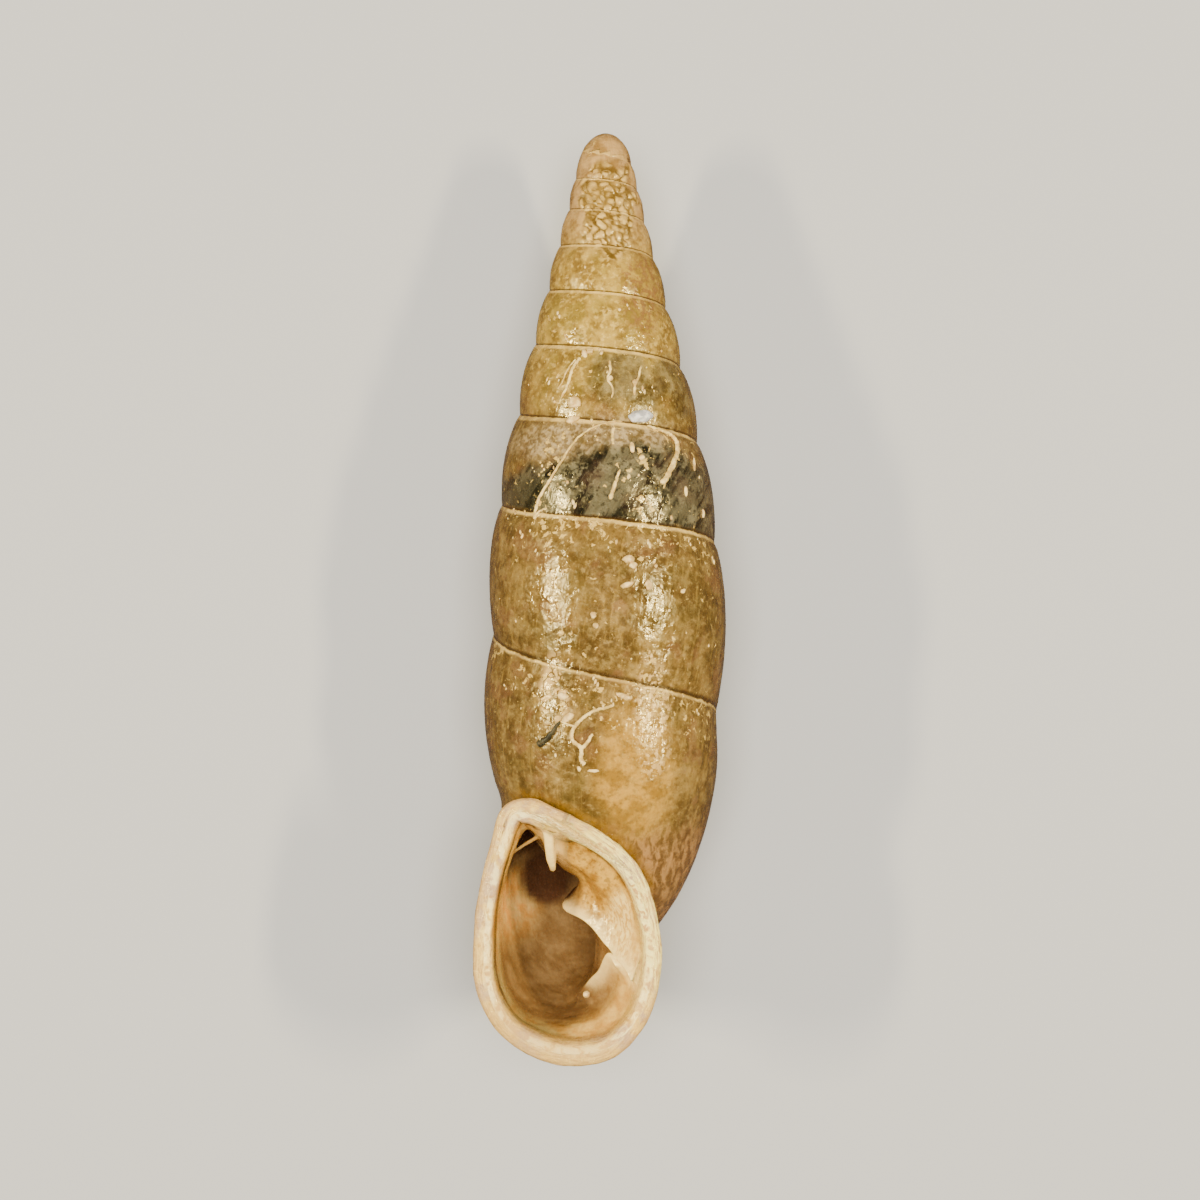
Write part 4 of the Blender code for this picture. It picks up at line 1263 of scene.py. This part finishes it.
def fibre(surface, points, first, last, number):
    """A fibre that lies along the shell through the points, lumpy, with its own thickness at each end."""
    course = natural_spline(range(len(points)), points)
    count = FIBRE_STEPS * (len(points) - 1)
    thickness = max(first, last)
    line = bpy.data.curves.new(f"fibre {number}", "CURVE")
    line.dimensions = "3D"
    line.bevel_depth = thickness
    line.bevel_resolution = 3
    line.use_fill_caps = True
    spline = line.splines.new("POLY")
    spline.points.add(count)
    for k, point in enumerate(spline.points):
        x, drop = course(k / FIBRE_STEPS)
        wander = 0.012 * noise.noise(Vector((k * 0.35, number * 7.0, 0.0)))
        at, _ = lies_on(surface, x + wander, drop + wander, thickness * 0.55)
        point.co = (*at, 1.0)
        lumps = 1 + 0.55 * noise.noise(Vector((k * 0.6, number, 5)))
        share = k / count
        point.radius = lumps * (first + (last - first) * share) / thickness * (0.6 if k in (0, count) else 1.0)
    made = bpy.data.objects.new(f"fibre_{number}", line)
    bpy.context.scene.collection.objects.link(made)
    select_only(made)
    bpy.ops.object.convert(target="MESH")
    return bpy.context.object


def grain(surface, x, drop, wide, tall, high, turned, seed, detail=2, lumpy=0.28):
    """A small lump of crust or sand stuck on the shell."""
    at, normal = lies_on(surface, x, drop, high * 0.35)
    deselect_all()
    bpy.ops.mesh.primitive_ico_sphere_add(subdivisions=detail, radius=1.0)
    made = bpy.context.object
    side = Vector((1, 0, 0)) - normal * normal.x
    side.normalize()
    down = normal.cross(side)
    for v in made.data.vertices:
        lump = 1 + lumpy * noise.noise(v.co * 1.6 + Vector((seed * 3.7, 0, 0)))
        a = v.co.x * wide * lump
        b = v.co.y * tall * lump
        along = a * math.cos(turned) - b * math.sin(turned)
        across = a * math.sin(turned) + b * math.cos(turned)
        v.co = at + side * along + down * across + normal * (v.co.z * high * lump)
    return made


def dust(surface):
    """Hundreds of tiny pale flakes, thickest under the sutures and in two streaks down the front; the streaks
    follow the lights' highlights, so the flakes there are partly real dust and partly painted highlight.
    """
    flakes = []
    for number in range(DUST_TRIES):
        # Multiples of these shares spread evenly and never repeat.
        x = DUST_CORNER[0] + DUST_SIZE[0] * ((number * 0.61803399) % 1.0)
        drop = DUST_CORNER[1] + DUST_SIZE[1] * ((number * 0.75487767) % 1.0)
        chance = (number * 0.56984029) % 1.0
        hit, normal = looking_down(surface, x, drop)
        if hit is None or normal.z < 0.35 or hit.z - AXIS_HEIGHT < 0.4 or (drop > 11.2 and x < 0.4):
            continue
        _, share = whorl_place(*unplace(hit))
        # Painted highlight, in part: the flakes crowd into the two columns where the lights' highlights fall.
        highlight_streaks = math.exp(-((x + 0.80) / 0.28) ** 2) + math.exp(-((x - 0.72) / 0.30) ** 2)
        crowd = 0.08 * (1 - smooth((drop - 9.8) / 0.8)) + 0.45 * (1 - smooth(share / 0.35)) + 0.42 * highlight_streaks
        crowd *= 1 - smooth((drop - 11.0) / 0.6)
        crowd *= 0.4 + 1.2 * smooth(0.5 + 0.9 * noise.noise(Vector((x * 1.8, drop * 1.8, 2.0))))
        if chance > crowd * 0.6:
            continue
        size = 0.012 + 0.022 * ((number * 0.83) % 1.0) ** 2
        long = size * (1.0 + 1.3 * ((number * 0.37) % 1.0))
        turned = 0.4 - (number * 0.29) % 0.8
        flakes.append(grain(surface, x, drop, size, long, size * 0.5, turned, number, 1, 0.5))
    return joined(flakes, "dust")


def build_dirt(shell):
    """The fibres, crusts and grains that lie on the shell."""
    shape = bmesh.new()
    shape.from_mesh(shell.data)
    surface = BVHTree.FromBMesh(shape)
    shape.free()
    fibres = joined([fibre(surface, *numbers, n) for n, numbers in enumerate(FIBRES)], "fibres")
    pale = [grain(surface, *numbers, seed) for seed, numbers in enumerate(PALE_GRAINS)]
    pearl_x, pearl_drop, pearl = MOUTH_GRAIN
    pale.append(grain(surface, pearl_x, pearl_drop, pearl, pearl, pearl, 0.0, 90, 3, 0.06))
    crust = joined(pale + [dust(surface)], "crust")
    quartz = grain(surface, *QUARTZ, 55, 3, 0.22)
    quartz.name = "sand_grain"
    sliver = fibre(surface, SLIVER, 0.062, 0.020, 20)
    sliver.name = "dark_sliver"
    return fibres, crust, quartz, sliver


# The lights, in metres: name, degrees from straight above, size, energy, colour, and whether gloss shows it.
LAMP_DISTANCE = 0.12
LAMPS = (
    ("left", -50, (0.0065, 0.030), 0.155, (1.0, 0.87, 0.56), True),
    ("right", 46, (0.0065, 0.030), 0.155, (1.0, 0.87, 0.56), True),
    ("above", 0, (0.08, 0.055), 0.30, (1.0, 0.96, 0.90), False),
)
FLOOR_COLOUR = (0.42, 0.42, 0.42, 1.0)


def build_stage():
    """A pale floor, two long soft lights to the left and right, and a faint fill."""
    deselect_all()
    bpy.ops.mesh.primitive_plane_add(size=0.6)
    floor = bpy.context.object
    floor.name = "floor"
    pale = Tree("pale floor").finish({"Base Color": FLOOR_COLOUR, "Roughness": 0.8})
    floor.data.materials.append(pale)
    floor.visible_glossy = False
    world = bpy.context.scene.world or bpy.data.worlds.new("studio")
    bpy.context.scene.world = world
    world.use_nodes = True
    world.node_tree.nodes["Background"].inputs["Color"].default_value = (1.0, 0.98, 0.95, 1.0)
    world.node_tree.nodes["Background"].inputs["Strength"].default_value = 0.10
    for name, degrees, (wide, long), energy, colour, glossy in LAMPS:
        lamp = bpy.data.lights.new(name, "AREA")
        lamp.shape = "RECTANGLE"
        lamp.size = wide
        lamp.size_y = long
        lamp.energy = energy
        lamp.color = colour
        holder = bpy.data.objects.new(name, lamp)
        bpy.context.scene.collection.objects.link(holder)
        away = math.radians(degrees)
        holder.location = (LAMP_DISTANCE * math.sin(away), 0.004, LAMP_DISTANCE * math.cos(away))
        holder.rotation_euler = (0, away, 0)
        holder.visible_glossy = glossy


# The camera looks straight down at the shell from this far above its axis.
CAMERA_DISTANCE = 37.0
VIEW_DROP = 8.20
VIEW_X = -0.088
VIEW_HEIGHT = 21.10
SENSOR = 36.0


def build_camera():
    camera = bpy.data.objects.new("camera", bpy.data.cameras.new("camera"))
    bpy.context.scene.collection.objects.link(camera)
    camera.location = (VIEW_X * MM, (REST_DROP - VIEW_DROP) * MM, (AXIS_HEIGHT + CAMERA_DISTANCE) * MM)
    camera.data.sensor_width = SENSOR
    camera.data.sensor_fit = "HORIZONTAL"
    camera.data.lens = SENSOR * CAMERA_DISTANCE / VIEW_HEIGHT
    camera.data.clip_start = 0.001
    bpy.context.scene.camera = camera


def main():
    noise.seed_set(NOISE_SEED)
    shell = build_shell()
    fibres, crust, quartz, sliver = build_dirt(shell)
    finished(shell, shell_finish())
    shell.name = "snail_shell"
    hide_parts("shell")
    finished(fibres, plain_finish("fibre", (236, 206, 132), (186, 154, 84), 0.45))
    finished(crust, plain_finish("crust", (238, 206, 138), (186, 152, 88), 0.45))
    finished(quartz, plain_finish("quartz", (226, 222, 212), (168, 164, 160), 0.3))
    finished(sliver, plain_finish("dark sliver", (66, 58, 34), (38, 34, 20), 0.5))
    build_stage()
    build_camera()


main()
